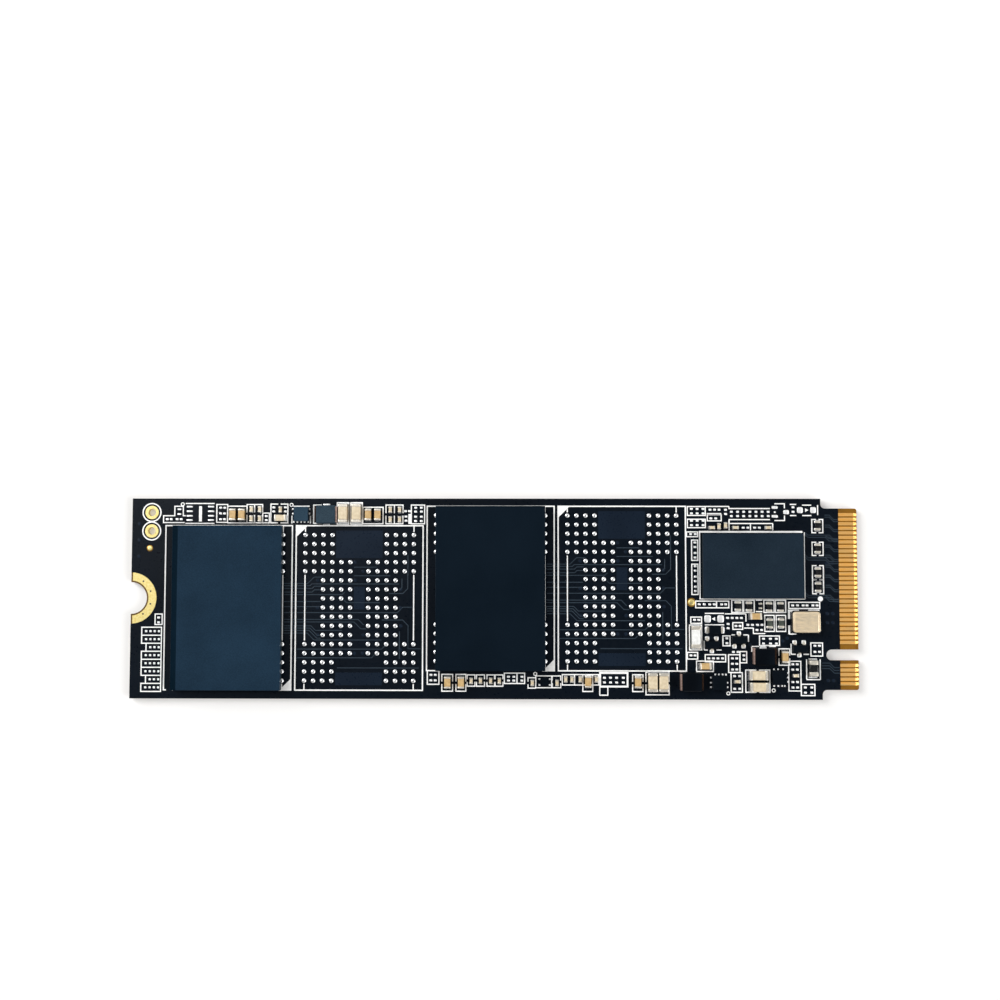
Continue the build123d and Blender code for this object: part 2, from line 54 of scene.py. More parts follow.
# Places that the frame gives
def middle(node_name):
    """Middle of a CAD node's box."""
    low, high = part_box(node_name)
    return (low + high) / (2 * MM)


def extent(node_name):
    """Length, width and height of a CAD node's box."""
    low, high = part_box(node_name)
    return (high - low) / MM


# Modelling steps that many pieces share
def deselect():
    """Leave edit mode and select nothing."""
    if bpy.context.mode != "OBJECT":
        bpy.ops.object.mode_set(mode="OBJECT")
    bpy.ops.object.select_all(action="DESELECT")


def pick(*pieces):
    """Select some pieces and nothing else, with the last one active."""
    deselect()
    for piece in pieces:
        piece.select_set(True)
    bpy.context.view_layer.objects.active = pieces[-1]


def add_object(name, data):
    """Put a new object with the given data into the scene."""
    made = bpy.data.objects.new(name, data)
    bpy.context.scene.collection.objects.link(made)
    return made


def open_mesh(piece):
    """Go into a piece's edit mode with all of it selected."""
    pick(piece)
    bpy.ops.object.mode_set(mode="EDIT")
    bpy.ops.mesh.select_mode(type="FACE")
    bpy.ops.mesh.select_all(action="SELECT")


def close_mesh(piece, smooth=20):
    """Merge doubles, turn the faces outwards, leave edit mode and smooth the gentle edges."""
    bpy.ops.mesh.select_all(action="SELECT")
    bpy.ops.mesh.remove_doubles(threshold=DOUBLES)
    bpy.ops.mesh.normals_make_consistent(inside=False)
    bpy.ops.object.mode_set(mode="OBJECT")
    bpy.ops.object.shade_smooth_by_angle(angle=math.radians(smooth))
    return piece


def choose_faces(test):
    """Select the faces whose middle and normal pass a test."""
    bpy.ops.mesh.select_mode(type="FACE")
    bpy.ops.mesh.select_all(action="DESELECT")
    data = bpy.context.object.data
    mesh = bmesh.from_edit_mesh(data)
    for face in mesh.faces:
        face.select_set(test(face.calc_center_median() / MM, face.normal))
    bmesh.update_edit_mesh(data)


def choose_edges(test):
    """Select the edges whose middle and direction pass a test."""
    bpy.ops.mesh.select_mode(type="EDGE")
    bpy.ops.mesh.select_all(action="DESELECT")
    data = bpy.context.object.data
    mesh = bmesh.from_edit_mesh(data)
    for edge in mesh.edges:
        one, other = (vertex.co / MM for vertex in edge.verts)
        edge.select_set(test((one + other) / 2, (other - one).normalized()))
    bmesh.update_edit_mesh(data)


def upright(place, along):
    """Whether an edge stands upright."""
    return abs(along.z) > 0.9


def bevel_edges(radius, segments, test=lambda place, along: True, clamp=False):
    """Round the edges whose middle and direction pass a test, or else all edges."""
    choose_edges(test)
    bpy.ops.mesh.bevel(offset=radius * MM, segments=segments, affect="EDGES", clamp_overlap=clamp)


def start_block(name, size, foot, finish):
    """Add a cube of the given size that stands on the given point, and open it."""
    deselect()
    length, width, height = size
    x, y, z = foot
    bpy.ops.mesh.primitive_cube_add(size=MM, location=(x * MM, y * MM, (z + height / 2) * MM))
    block = bpy.context.object
    block.name = name
    block.scale = (length, width, height)
    bpy.ops.object.transform_apply(location=True, rotation=True, scale=True)
    block.data.materials.append(finish)
    open_mesh(block)
    return block


def start_disc(name, radius, sides, finish):
    """Add a filled circle at the origin and open it."""
    deselect()
    bpy.ops.mesh.primitive_circle_add(vertices=sides, radius=radius * MM, fill_type="NGON")
    disc = bpy.context.object
    disc.name = name
    disc.data.materials.append(finish)
    open_mesh(disc)
    return disc


def shift_up(height):
    """Move what is selected upwards."""
    bpy.ops.transform.translate(value=(0, 0, height * MM))


def cut_across(normal, distance):
    """Cut all of the open mesh by a plane at a distance from the origin along its normal."""
    bpy.ops.mesh.select_all(action="SELECT")
    bpy.ops.mesh.bisect(plane_co=Vector(normal) * distance * MM, plane_no=normal)


def rise(*rings):
    """Extrude what is selected upwards in rings, each with its height and its share of the width below."""
    for height, share in rings:
        bpy.ops.mesh.extrude_region_move(TRANSFORM_OT_translate={"value": (0, 0, height * MM)})
        bpy.ops.transform.resize(value=(share, share, 1), center_override=(0, 0, 0))


def lay(x, y, z=BOARD_TOP, turn=0, size=(1, 1, 1)):
    """The matrix that lays a pattern, modelled at the origin, at a place on the board."""
    return Matrix.LocRotScale(Vector((x, y, z)) * MM, Euler((0, 0, math.radians(turn))), Vector(size))


def lay_copies(name, pattern, places):
    """Copy a modelled pattern to each place, join the copies to one piece and drop the pattern."""
    twins = [add_object(name, pattern.data.copy()) for _ in places]
    for twin, place in zip(twins, places):
        twin.data.transform(place)
    pick(*twins)
    bpy.ops.object.join()
    bpy.data.objects.remove(pattern)
    twins[-1].name = name
    return twins[-1]


def cad_copy(name, node_name, finish):
    """A merged copy of a CAD node's mesh, opened, without the normals that came with the file."""
    twin = add_object(name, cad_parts[node_name].data.copy())
    twin.data.materials.clear()
    twin.data.materials.append(finish)
    pick(twin)
    bpy.ops.mesh.customdata_custom_splitnormals_clear()
    open_mesh(twin)
    bpy.ops.mesh.remove_doubles(threshold=DOUBLES)
    return twin


def rounded_copy(node_name, radius, finish, slot, squeeze=(1, 1, 1)):
    """A copy of a CAD node with rounded edges, squeezed about its middle, which stands for the node."""
    twin = cad_copy(node_name + "_rounded", node_name, finish)
    bpy.ops.mesh.dissolve_limited(angle_limit=math.radians(1))
    bpy.ops.transform.resize(value=squeeze, center_override=middle(node_name) * MM)
    bevel_edges(radius, 2, clamp=True)
    close_mesh(twin)
    return settle(twin, slot, node_name)


def paint(piece, finish, test):
    """Give a second finish to the faces whose middle and normal pass a test."""
    piece.data.materials.append(finish)
    choose_faces(test)
    piece.active_material_index = len(piece.data.materials) - 1
    bpy.ops.object.material_slot_assign()


def repaint(piece, finish, test):
    """Open a finished piece, paint some of its faces and close it again."""
    open_mesh(piece)
    paint(piece, finish, test)
    close_mesh(piece)


def settle(piece, slot, *nodes):
    """Let a finished piece ride the card and stand for the CAD nodes named; the slot is not used."""
    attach(piece, "root")
    if nodes:
        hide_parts(*nodes)
    return piece


# Flat shapes: drawn in one open mesh and thickened together
def begin_flat(name, finish):
    """Open an empty mesh that flat shapes are then drawn in."""
    deselect()
    bpy.ops.mesh.primitive_plane_add(size=MM)
    sheet = bpy.context.object
    sheet.name = name
    sheet.data.materials.append(finish)
    open_mesh(sheet)
    bpy.ops.mesh.delete(type="VERT")
    return sheet


def draw_plate(x0, y0, x1, y1, z):
    """A filled rectangle between two corners."""
    place = ((x0 + x1) / 2 * MM, (y0 + y1) / 2 * MM, z * MM)
    bpy.ops.mesh.primitive_plane_add(size=MM, location=place)
    bpy.ops.transform.resize(value=(x1 - x0, y1 - y0, 1), center_override=place)


def draw_disc(x, y, radius, hole, z, sides=32):
    """A filled circle, or a ring where the hole's radius isn't zero."""
    bpy.ops.mesh.primitive_circle_add(
        vertices=sides, radius=radius * MM, fill_type="NGON", location=(x * MM, y * MM, z * MM)
    )
    if hole:
        bpy.ops.mesh.inset(thickness=(radius - hole) * math.cos(math.pi / sides) * MM)
        bpy.ops.mesh.delete(type="FACE")


def end_flat(sheet, thickness):
    """Thicken all that was drawn and close the mesh."""
    bpy.ops.mesh.select_all(action="SELECT")
    bpy.ops.mesh.extrude_region_move(TRANSFORM_OT_translate={"value": (0, 0, thickness * MM)})
    return close_mesh(sheet)


# Materials
def linear(code):
    """An sRGB hex colour as the linear colour that Blender works in."""
    parts = [int(code[i : i + 2], 16) / 255 for i in (1, 3, 5)]
    return (*[p / 12.92 if p <= 0.04045 else ((p + 0.055) / 1.055) ** 2.4 for p in parts], 1)


def node(tree, kind, inputs=None, **settings):
    """Add one node with its settings, input values and links, and return its outputs."""
    made = tree.nodes.new("ShaderNode" + kind)
    for name, value in settings.items():
        setattr(made, name, value)
    for name, value in (inputs or {}).items():
        if isinstance(value, bpy.types.NodeSocket):
            tree.links.new(value, made.inputs[name])
        else:
            made.inputs[name].default_value = value
    return made.outputs


def start_finish(name, values):
    """A new material, with what is the same all over set on its shader, and coordinates in millimetres."""
    made = bpy.data.materials.new(name)
    made.use_nodes = True
    tree = made.node_tree
    for socket, value in values.items():
        tree.nodes["Principled BSDF"].inputs[socket].default_value = value
    here = node(tree, "TexCoord")["Object"]
    place = node(tree, "Mapping", {"Vector": here, "Scale": (1 / MM,) * 3})["Vector"]
    return made, tree, place


def end_finish(made, patterns):
    """Lead a material's patterns to the sockets of its shader."""
    tree = made.node_tree
    for socket, pattern in patterns.items():
        tree.links.new(pattern, tree.nodes["Principled BSDF"].inputs[socket])
    return made


def solder_mask(skin=0.02):
    """Epoxy mask on a glass-epoxy board: satin navy skin, and brown laminate at the cuts and the tongue."""
    made, tree, place = start_finish("epoxy_solder_mask_satin", {"IOR": 1.52, "Specular IOR Level": 0.1})
    axes = node(tree, "SeparateXYZ", {"Vector": place})
    middle_plane = BOARD_TOP / 2
    lower = node(tree, "Math", {0: axes["Z"], 1: middle_plane}, operation="LESS_THAN")[0]
    # a cut shows where a point lies further in than the skin
    depth = node(tree, "Math", {0: axes["Z"], 1: middle_plane}, operation="SUBTRACT")[0]
    depth = node(tree, "Math", {0: depth}, operation="ABSOLUTE")[0]
    cut = node(tree, "Math", {0: depth, 1: middle_plane - skin}, operation="LESS_THAN")[0]
    # the mask ends where the contacts of each face start
    starts = [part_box(f"edge_contacts_{side}")[0].x / MM for side in ("top", "bottom")]
    start = node(tree, "Mix", {"Factor": lower, 2: starts[0], 3: starts[1]})[0]
    tongue = node(tree, "Math", {0: axes["X"], 1: start}, operation="GREATER_THAN")[0]
    bare = node(tree, "Math", {0: cut, 1: tongue}, operation="MAXIMUM")[0]
    # clouds of 7 mm in the mask, and plies about 0.1 mm thick in the laminate
    cloud = node(tree, "TexNoise", {"Vector": place, "Scale": 1 / 7, "Detail": 4})["Fac"]
    plies = node(tree, "Mapping", {"Vector": place, "Scale": (0.8, 0.8, 9)})["Vector"]
    fibre = node(tree, "TexNoise", {"Vector": plies, "Scale": 1, "Detail": 5})["Fac"]
    tones = {}
    # the lower mask is painted paler than the upper: a painted sheen
    for face, pattern, dark, light in (
        ("upper mask", cloud, "#04090f", "#0c141e"),
        ("lower mask", cloud, "#14212e", "#22344a"),
        ("cut", fibre, "#3c2a16", "#7c5f36"),
        # bare laminate, painted lighter and more orange on the tongue as painted light thrown on it by the
        # gold
        ("tongue", fibre, "#63400f", "#96681f"),
    ):
        ends = {"Factor": pattern, 6: linear(dark), 7: linear(light)}
        tones[face] = node(tree, "Mix", ends, data_type="RGBA")[2]
    ends = {"Factor": lower, 6: tones["upper mask"], 7: tones["lower mask"]}
    navy = node(tree, "Mix", ends, data_type="RGBA")[2]
    ends = {"Factor": tongue, 6: tones["cut"], 7: tones["tongue"]}
    brown = node(tree, "Mix", ends, data_type="RGBA")[2]
    colour = node(tree, "Mix", {"Factor": bare, 6: navy, 7: brown}, data_type="RGBA")[2]
    # orange peel of 0.3 mm
    peel = node(tree, "TexNoise", {"Vector": place, "Scale": 1 / 0.3, "Detail": 3})["Fac"]
    ends = {"Value": peel, "From Min": 0.3, "From Max": 0.7, "To Min": 0.26, "To Max": 0.38}
    satin = node(tree, "MapRange", ends)[0]
    rough = node(tree, "Mix", {"Factor": bare, 2: satin, 3: 0.75})[0]
    bump = node(tree, "Bump", {"Height": peel, "Strength": 0.35, "Distance": 0.01 * MM})["Normal"]
    return end_finish(made, {"Base Color": colour, "Roughness": rough, "Normal": bump})


def mask_over_copper(name, dark, light):
    """The same mask where copper lies under it: lighter and a little smoother, with clouds of 5 mm."""
    made, tree, place = start_finish(name, {"IOR": 1.52, "Specular IOR Level": 0.1})
    cloud = node(tree, "TexNoise", {"Vector": place, "Scale": 1 / 5, "Detail": 4})["Fac"]
    ends = {"Factor": cloud, 6: linear(dark), 7: linear(light)}
    colour = node(tree, "Mix", ends, data_type="RGBA")[2]
    peel = node(tree, "TexNoise", {"Vector": place, "Scale": 1 / 0.25, "Detail": 2})["Fac"]
    rough = node(tree, "MapRange", {"Value": peel, "To Min": 0.22, "To Max": 0.36})[0]
    return end_finish(made, {"Base Color": colour, "Roughness": rough})


def plated_metal(name, dark, light, rough, grain, stretch=(1, 1, 1), peaks=0.006):
    """A plated metal: its tone and roughness wander with the plating's grain, which may run one way."""
    made, tree, place = start_finish(name, {"Metallic": 1})
    along = node(tree, "Mapping", {"Vector": place, "Scale": stretch})["Vector"]
    grit = node(tree, "TexNoise", {"Vector": along, "Scale": 1 / grain, "Detail": 5})["Fac"]
    tone = node(tree, "MapRange", {"Value": grit, "From Min": 0.3, "From Max": 0.7})[0]
    ends = {"Factor": tone, 6: linear(dark), 7: linear(light)}
    colour = node(tree, "Mix", ends, data_type="RGBA")[2]
    wear = node(tree, "MapRange", {"Value": tone, "To Min": rough + 0.08, "To Max": rough - 0.08})[0]
    bump = node(tree, "Bump", {"Height": grit, "Strength": 0.3, "Distance": peaks * MM})["Normal"]
    return end_finish(made, {"Base Color": colour, "Roughness": wear, "Normal": bump})


def moulding(name, dark, light, rough, grain, peaks=0.012, gloss=0.06):
    """Filled epoxy or pressed powder: matte and pitted, pale grains in a dark binder, a faint blue gloss."""
    values = {"IOR": 1.55, "Specular IOR Level": gloss, "Specular Tint": linear("#96ccff")}
    made, tree, place = start_finish(name, values)
    # clouds of 6 mm under the grain
    cloud = node(tree, "TexNoise", {"Vector": place, "Scale": 1 / 6, "Detail": 3})["Fac"]
    grit = node(tree, "TexNoise", {"Vector": place, "Scale": 1 / grain, "Detail": 6})["Fac"]
    both = node(tree, "Math", {0: cloud, 1: grit}, operation="ADD")[0]
    tone = node(tree, "MapRange", {"Value": both, "From Min": 0.7, "From Max": 1.3})[0]
    ends = {"Factor": tone, 6: linear(dark), 7: linear(light)}
    colour = node(tree, "Mix", ends, data_type="RGBA")[2]
    shine = node(tree, "MapRange", {"Value": grit, "To Min": rough * 1.2, "To Max": rough * 0.8})[0]
    bump = node(tree, "Bump", {"Height": grit, "Strength": 0.4, "Distance": peaks * MM})["Normal"]
    return end_finish(made, {"Base Color": colour, "Roughness": shine, "Normal": bump})


def ceramic(name, dark, light, rough, grain):
    """An even body such as sintered ceramic, glaze or ink: faint mottling and a fine-grained surface."""
    made, tree, place = start_finish(name, {"IOR": 1.7})
    grit = node(tree, "TexNoise", {"Vector": place, "Scale": 1 / grain, "Detail": 4})["Fac"]
    tone = node(tree, "MapRange", {"Value": grit, "From Min": 0.3, "From Max": 0.7})[0]
    ends = {"Factor": tone, 6: linear(dark), 7: linear(light)}
    colour = node(tree, "Mix", ends, data_type="RGBA")[2]
    shine = node(tree, "MapRange", {"Value": grit, "To Min": rough - 0.06, "To Max": rough + 0.06})[0]
    return end_finish(made, {"Base Color": colour, "Roughness": shine})


MASK = solder_mask()
# Wide copper under the mask: a shade lighter than the board round it
COVERED_COPPER = mask_over_copper("epoxy_solder_mask_over_copper", "#0e1621", "#1a2533")
# Thin traces, where the mask is stretched over an edge and paler
COVERED_TRACE = mask_over_copper("epoxy_solder_mask_over_traces", "#232c35", "#3a4650")
# White epoxy ink, screen printed: matte and bright, with a faintly uneven tone
INK = ceramic("epoxy_ink_screen_printed", "#ececea", "#fdfdfb", 0.6, 0.25)
# Hard gold on the contacts: deep orange-gold, drawn out along X by the socket's springs
CONTACT_GOLD = plated_metal("hard_gold_rubbed", "#e6a54c", "#fcce84", 0.45, 0.12, (0.08, 1, 1))
# Immersion gold on the lands: paler and evenly satin
LAND_GOLD = plated_metal("immersion_gold_satin", "#dfc876", "#efe0a2", 0.42, 0.2)
# The same gold painted brown round the edge of a land: a painted dark reflection
GOLD_PAINTED_DARK_RIM = plated_metal("immersion_gold_painted_dark_rim", "#6d4f1c", "#a37e38", 0.5, 0.15)
# Reflowed tin solder: bright, smooth and a little cloudy
SOLDER = plated_metal("tin_solder_reflowed", "#d8dadb", "#f8f8f8", 0.3, 0.18)
# Tin on the bare lands: thin, flat and satin
LAND_TIN = plated_metal("tin_coat_satin", "#dcdddd", "#fafafa", 0.5, 0.2)
# Tin-plated end terminals: duller than solder
TIN = plated_metal("tin_plating_matte", "#cbc4b6", "#f0eade", 0.45, 0.1)
# Flash packages of one compound, both fine-grained, with a little more gloss than the rest: one painted
# paler as painted light and one painted darker as painted shade
FLASH_MOULD_PAINTED_LIGHT = moulding("moulding_compound_painted_light", "#0f1d29", "#1b2e3e", 0.45, 0.09, 0.012, 0.16)
FLASH_MOULD_PAINTED_SHADE = moulding("moulding_compound_painted_shade", "#020509", "#080f16", 0.45, 0.09, 0.012, 0.16)
# Strip along the first package's left side: blue-black, a painted dark reflection
DARK_REFLECTION_MOULD = moulding("moulding_compound_painted_dark_reflection", "#020d15", "#071824", 0.5, 0.09)
# First regulator: a paler, dustier compound
PALE_MOULD = moulding("moulding_compound_pale", "#22323f", "#364a59", 0.55, 0.09)
# Controller: grey-blue and even
GREY_MOULD = moulding("moulding_compound_grey", "#141e27", "#222e39", 0.55, 0.09)
# Small packages: near black
BLACK_MOULD = moulding("moulding_compound_black", "#040608", "#0d1116", 0.5, 0.07)
# Package substrate: a thin dark green-brown laminate under the moulding
SUBSTRATE = moulding("package_laminate_sawn", "#1c2018", "#34362a", 0.6, 0.15)
# Inductors of pressed iron powder, pitted: one with a grey coat and two left black
POWDER = moulding("pressed_iron_powder_coated", "#1d272e", "#35444f", 0.55, 0.08, 0.02)
POWDER_BLACK = moulding("pressed_iron_powder_black", "#020203", "#08090b", 0.5, 0.08, 0.02)
# Inductor terminals of copper strip: pinkish where tinned, and painted near black on one side as painted
# shade
COPPER_STRIP = plated_metal("copper_strip_tinned", "#8d746b", "#bfa69b", 0.5, 0.15)
SHADED_STRIP = plated_metal("copper_strip_painted_shade", "#1c1512", "#3c2c23", 0.55, 0.15)
# Capacitor bodies of titanate, ground: satin tan or cream
TAN_CERAMIC = ceramic("titanate_ceramic_tan", "#b3905a", "#cbab74", 0.45, 0.3)
CREAM_CERAMIC = ceramic("titanate_ceramic_cream", "#c9b795", "#dccdb0", 0.42, 0.3)
# Fuse of glazed alumina: white, with a sharp highlight
WHITE_CERAMIC = ceramic("alumina_glazed_white", "#dcdcd8", "#fbfbf8", 0.18, 0.3)
# Glazes of the resistors, the bead and the crystal's base: black and shiny, or grey-green and duller
BLACK_GLAZE = ceramic("resistor_glaze_black", "#060708", "#15171a", 0.25, 0.15)
GREEN_GLAZE = ceramic("resistor_glaze_grey_green", "#2a302c", "#4a5248", 0.35, 0.15)
# Crystal lid of a nickel-iron alloy, rolled: champagne-coloured, with a grain along X
LID_METAL = plated_metal("nickel_iron_lid_satin", "#e4cfac", "#f8e7ca", 0.45, 0.14, (0.3, 1, 1))
# Via holes in the mounting land: painted shade, dark and dull, as a small hollow looks
HOLLOW = ceramic("via_hole_shaded", "#2a1c0c", "#46311a", 0.7, 0.1)

# CAD nodes that keep their own form
for name, finish in {
    "edge_contacts_top": CONTACT_GOLD,
    "edge_contacts_bottom": CONTACT_GOLD,
    "mounting_land_top": LAND_GOLD,
    "mounting_land_bottom": LAND_GOLD,
}.items():
    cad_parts[name].material_slots[0].material = finish


# Board: a copy whose lower mask lies a little higher, so that the traces there have room to stand out
RELIEF = 0.014
board = cad_copy("masked_board", "circuit_board", MASK)
choose_faces(lambda place, facing: facing.z < -0.99 and place.z < 0.001)
shift_up(RELIEF)
settle(close_mesh(board), "solder_mask", "circuit_board")


# Packages: a moulded cap on a thin laminate, sawn flush
LAMINATE = 0.2
PACKAGE_RIM = 0.035


def moulded_package(name, node_name, finish, slot, strip=0):
    """A package in place of its CAD node, with a strip of painted dark reflection of the given width along
    its left side.
    """
    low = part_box(node_name)[0].z / MM
    seam = low + LAMINATE
    x, y, _ = middle(node_name)
    package = start_block(name, extent(node_name), (x, y, low), finish)
    bevel_edges(PACKAGE_RIM, 2)
    cut_across((0, 0, 1), seam)
    paint(package, SUBSTRATE, lambda place, facing: place.z < seam)
    # a strip along the left side is painted darker: a painted dark reflection
    if strip:
        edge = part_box(node_name)[0].x / MM + strip
        cut_across((1, 0, 0), edge)
        paint(package, DARK_REFLECTION_MOULD, lambda place, facing: place.x < edge and place.z > seam)
    close_mesh(package)
    return settle(package, slot, node_name)


# the first flash package's moulding is painted paler, as painted light, and the second's darker, as painted
# shade
moulded_package("flash_1_moulding", "flash_1_package", FLASH_MOULD_PAINTED_LIGHT, "slate_mould", 0.6)
moulded_package("flash_2_moulding", "flash_2_package", FLASH_MOULD_PAINTED_SHADE, "black_mould")
moulded_package("controller_moulding", "controller_package", GREY_MOULD, "black_mould")

# Ball pattern of a flash site, as columns and rows from its middle
BALL_PITCH = 1.0
BALL_COLUMNS = 6
BALL_ROWS = 8
BALL_STEPS = []
for row in range(-BALL_ROWS, BALL_ROWS + 1):
    first, last = (3, 6) if abs(row) > 5 else (1, 6) if abs(row) > 3 else (1, 4)
    for column in range(first, last + 1):
        BALL_STEPS += [(-column, row), (column, row)]
RIM_STEPS = [step for step in BALL_STEPS if abs(step[0]) == BALL_COLUMNS or abs(step[1]) == BALL_ROWS]
SITE_MIDDLES = [
    middle("flash_1_package"),
    middle("spare_site_1_bumps"),
    middle("flash_2_package"),
    middle("spare_site_2_bumps"),
]
FILLED_SITES = SITE_MIDDLES[0::2]
SPARE_SITES = SITE_MIDDLES[1::2]


def lay_balls(name, node_name, site, steps, radius, rings):
    """Solder balls at some steps from a site's middle, each a disc that rises in rings."""
    ball = start_disc("ball", radius, 12, SOLDER)
    rise(*rings)
    close_mesh(ball, 80)
    places = [lay(site.x + column * BALL_PITCH, site.y + row * BALL_PITCH) for column, row in steps]
    settle(lay_copies(name, ball, places), "solder", node_name)


# Bare bumps: low domes of reflowed solder
BUMP_RINGS = ((0.045, 0.95), (0.045, 0.82), (0.03, 0.68), (0.015, 0.5))
for number, site in enumerate(SPARE_SITES, 1):
    name = f"spare_site_{number}"
    lay_balls(name + "_solder", name + "_bumps", site, BALL_STEPS, 0.255, BUMP_RINGS)

# Soldered balls that show round the rim of a flash package
BALL_RINGS = ((0.05, 1.22), (0.06, 1.08), (0.06, 0.92), (0.05, 0.82))
for number, site in enumerate(FILLED_SITES, 1):
    name = f"flash_{number}"
    lay_balls(name + "_balls", name + "_outer_balls", site, RIM_STEPS, 0.2, BALL_RINGS)

# Chip parts: rounded bodies and end terminals
APART = 0.9  # share of its width that a large capacitor keeps, so that a pair stands apart
for number in range(1, 7):
    # the first four stand across the card, and the last two lie along it
    squeeze = (APART, 1, 1) if number < 5 else (1, APART, 1)
    rounded_copy(f"bulk_capacitor_{number}", 0.08, CREAM_CERAMIC, "cream_ceramic", squeeze)
for number in range(1, 13):
    # the third is paler than the rest
    finish, slot = (CREAM_CERAMIC, "cream_ceramic") if number == 3 else (TAN_CERAMIC, "tan_ceramic")
    rounded_copy(f"filter_capacitor_{number}", 0.04, finish, slot)

# Other parts that are rounded copies: CAD node, radius of the edges, finish and slot
ROUNDED = [
    ("filter_capacitor_terminals", 0.05, TIN, "solder"),
    ("small_capacitors", 0.02, CREAM_CERAMIC, "cream_ceramic"),
    ("small_capacitor_terminals", 0.03, TIN, "solder"),
    ("resistors", 0.02, BLACK_GLAZE, "dark_ceramic"),
    ("resistor_terminals", 0.03, TIN, "solder"),
    ("fuse", 0.05, WHITE_CERAMIC, "white_ceramic"),
    ("fuse_terminals", 0.05, TIN, "solder"),
    ("ferrite_bead", 0.05, BLACK_GLAZE, "dark_ceramic"),
    ("ferrite_bead_terminals", 0.06, TIN, "solder"),
    ("inductor_1_block", 0.05, POWDER, "inductor_mould"),
    ("inductor_2_block", 0.05, POWDER_BLACK, "inductor_mould"),
    ("inductor_3_block", 0.05, POWDER_BLACK, "inductor_mould"),
    ("inductor_terminals", 0.03, COPPER_STRIP, "copper_terminal"),
    ("regulator_1", 0.03, PALE_MOULD, "black_mould"),
    ("transistor_1", 0.04, BLACK_MOULD, "black_mould"),
    ("regulator_2", 0.03, BLACK_MOULD, "black_mould"),
    ("transistor_2", 0.04, BLACK_MOULD, "black_mould"),
    ("regulator_3", 0.03, BLACK_MOULD, "black_mould"),
    ("transistor_3", 0.04, BLACK_MOULD, "black_mould"),
    ("voltage_monitor", 0.03, BLACK_MOULD, "slate_mould"),
    ("transistor_leads", 0.02, TIN, "solder"),
    ("diode", 0.04, BLACK_MOULD, "black_mould"),
    ("diode_leads", 0.02, TIN, "solder"),
    ("crystal_base", 0.03, BLACK_GLAZE, "dark_ceramic"),
]
rounded = {row[0]: rounded_copy(*row) for row in ROUNDED}

# Parts that differ from the rest of their piece
# the side of each inductor whose strip is painted near black, as painted shade
PAINTED_SHADE_SIDES = [
    (middle("inductor_1_block"), -1),
    (middle("inductor_2_block"), 1),
    (middle("inductor_3_block"), 1),
]


def dark_capacitor(place, facing):
    """Whether a face is on the one dark body, between the two pairs of resistors below the controller."""
    return 29 < place.x < 29.5 and -1 < place.y < -0.5


def pale_resistor(place, facing):
    """Whether a face is on the pair with a paler glaze, below the inner capacitors."""
    return 29.8 < place.x < 32 and -3.2 < place.y < -2.2


def on_painted_shade_side(place, facing):
    """Whether a face of a strip is on the side of its inductor that is painted near black as shade."""
    near, side = min(PAINTED_SHADE_SIDES, key=lambda entry: (entry[0] - place).length)
    return (place.x - near.x) * side > 0


repaint(rounded["small_capacitors"], BLACK_GLAZE, dark_capacitor)
repaint(rounded["resistors"], GREEN_GLAZE, pale_resistor)
# the shaded side of each inductor's strip is painted near black: painted shade
repaint(rounded["inductor_terminals"], SHADED_STRIP, on_painted_shade_side)
# the third inductor is a little shorter, so that the pad above it shows
SHORTER = 0.9
open_mesh(rounded["inductor_3_block"])
bpy.ops.transform.resize(value=(1, SHORTER, 1), center_override=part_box("inductor_3_block")[0])
close_mesh(rounded["inductor_3_block"])

# Crystal lid: drawn metal with round corners and a welded rim
LID_CORNER = 0.3
LID_EDGE = 0.04
LID_RIM = 0.12
LID_SLOPE = 0.04
LID_DIP = 0.03
lid_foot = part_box("crystal_lid")[0].z / MM
lid_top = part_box("crystal_lid")[1].z / MM
lid_x, lid_y, _ = middle("crystal_lid")
lid = start_block("crystal_cover", extent("crystal_lid"), (lid_x, lid_y, lid_foot), LID_METAL)
bevel_edges(LID_CORNER, 4, upright)
bevel_edges(LID_EDGE, 2, lambda place, along: place.z > lid_top - 0.001)
choose_faces(lambda place, facing: place.z > lid_top - 0.001)
bpy.ops.mesh.inset(thickness=LID_RIM * MM)
bpy.ops.mesh.inset(thickness=LID_SLOPE * MM)
shift_up(-LID_DIP)
settle(close_mesh(lid), "lid_metal", "crystal_lid")


# Solder fillets at the ends of the chip parts
def blocks(node_name):
    """Low and high corner of each separate solid of a CAD node, from left to right."""
    mesh = bmesh.new()
    mesh.from_mesh(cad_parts[node_name].data)
    bmesh.ops.remove_doubles(mesh, verts=mesh.verts, dist=DOUBLES)
    left = set(mesh.verts)
    found = []
    while left:
        group = set()
        edge = {left.pop()}
        while edge:
            group |= edge
            edge = {link.other_vert(vertex) for vertex in edge for link in vertex.link_edges} - group
        left -= group
        low = Vector([min(vertex.co[axis] for vertex in group) for axis in range(3)]) / MM
        high = Vector([max(vertex.co[axis] for vertex in group) for axis in range(3)]) / MM
        found.append((low, high))
    mesh.free()
    return sorted(found, key=lambda corners: corners[0][:])


def touch(one, other):
    """Whether two boxes meet, or nearly do."""
    slack = 0.03
    return all(one[0][i] < other[1][i] + slack and other[0][i] < one[1][i] + slack for i in range(3))


FILLET_RISE = 0.5  # share of a terminal's height that its solder climbs


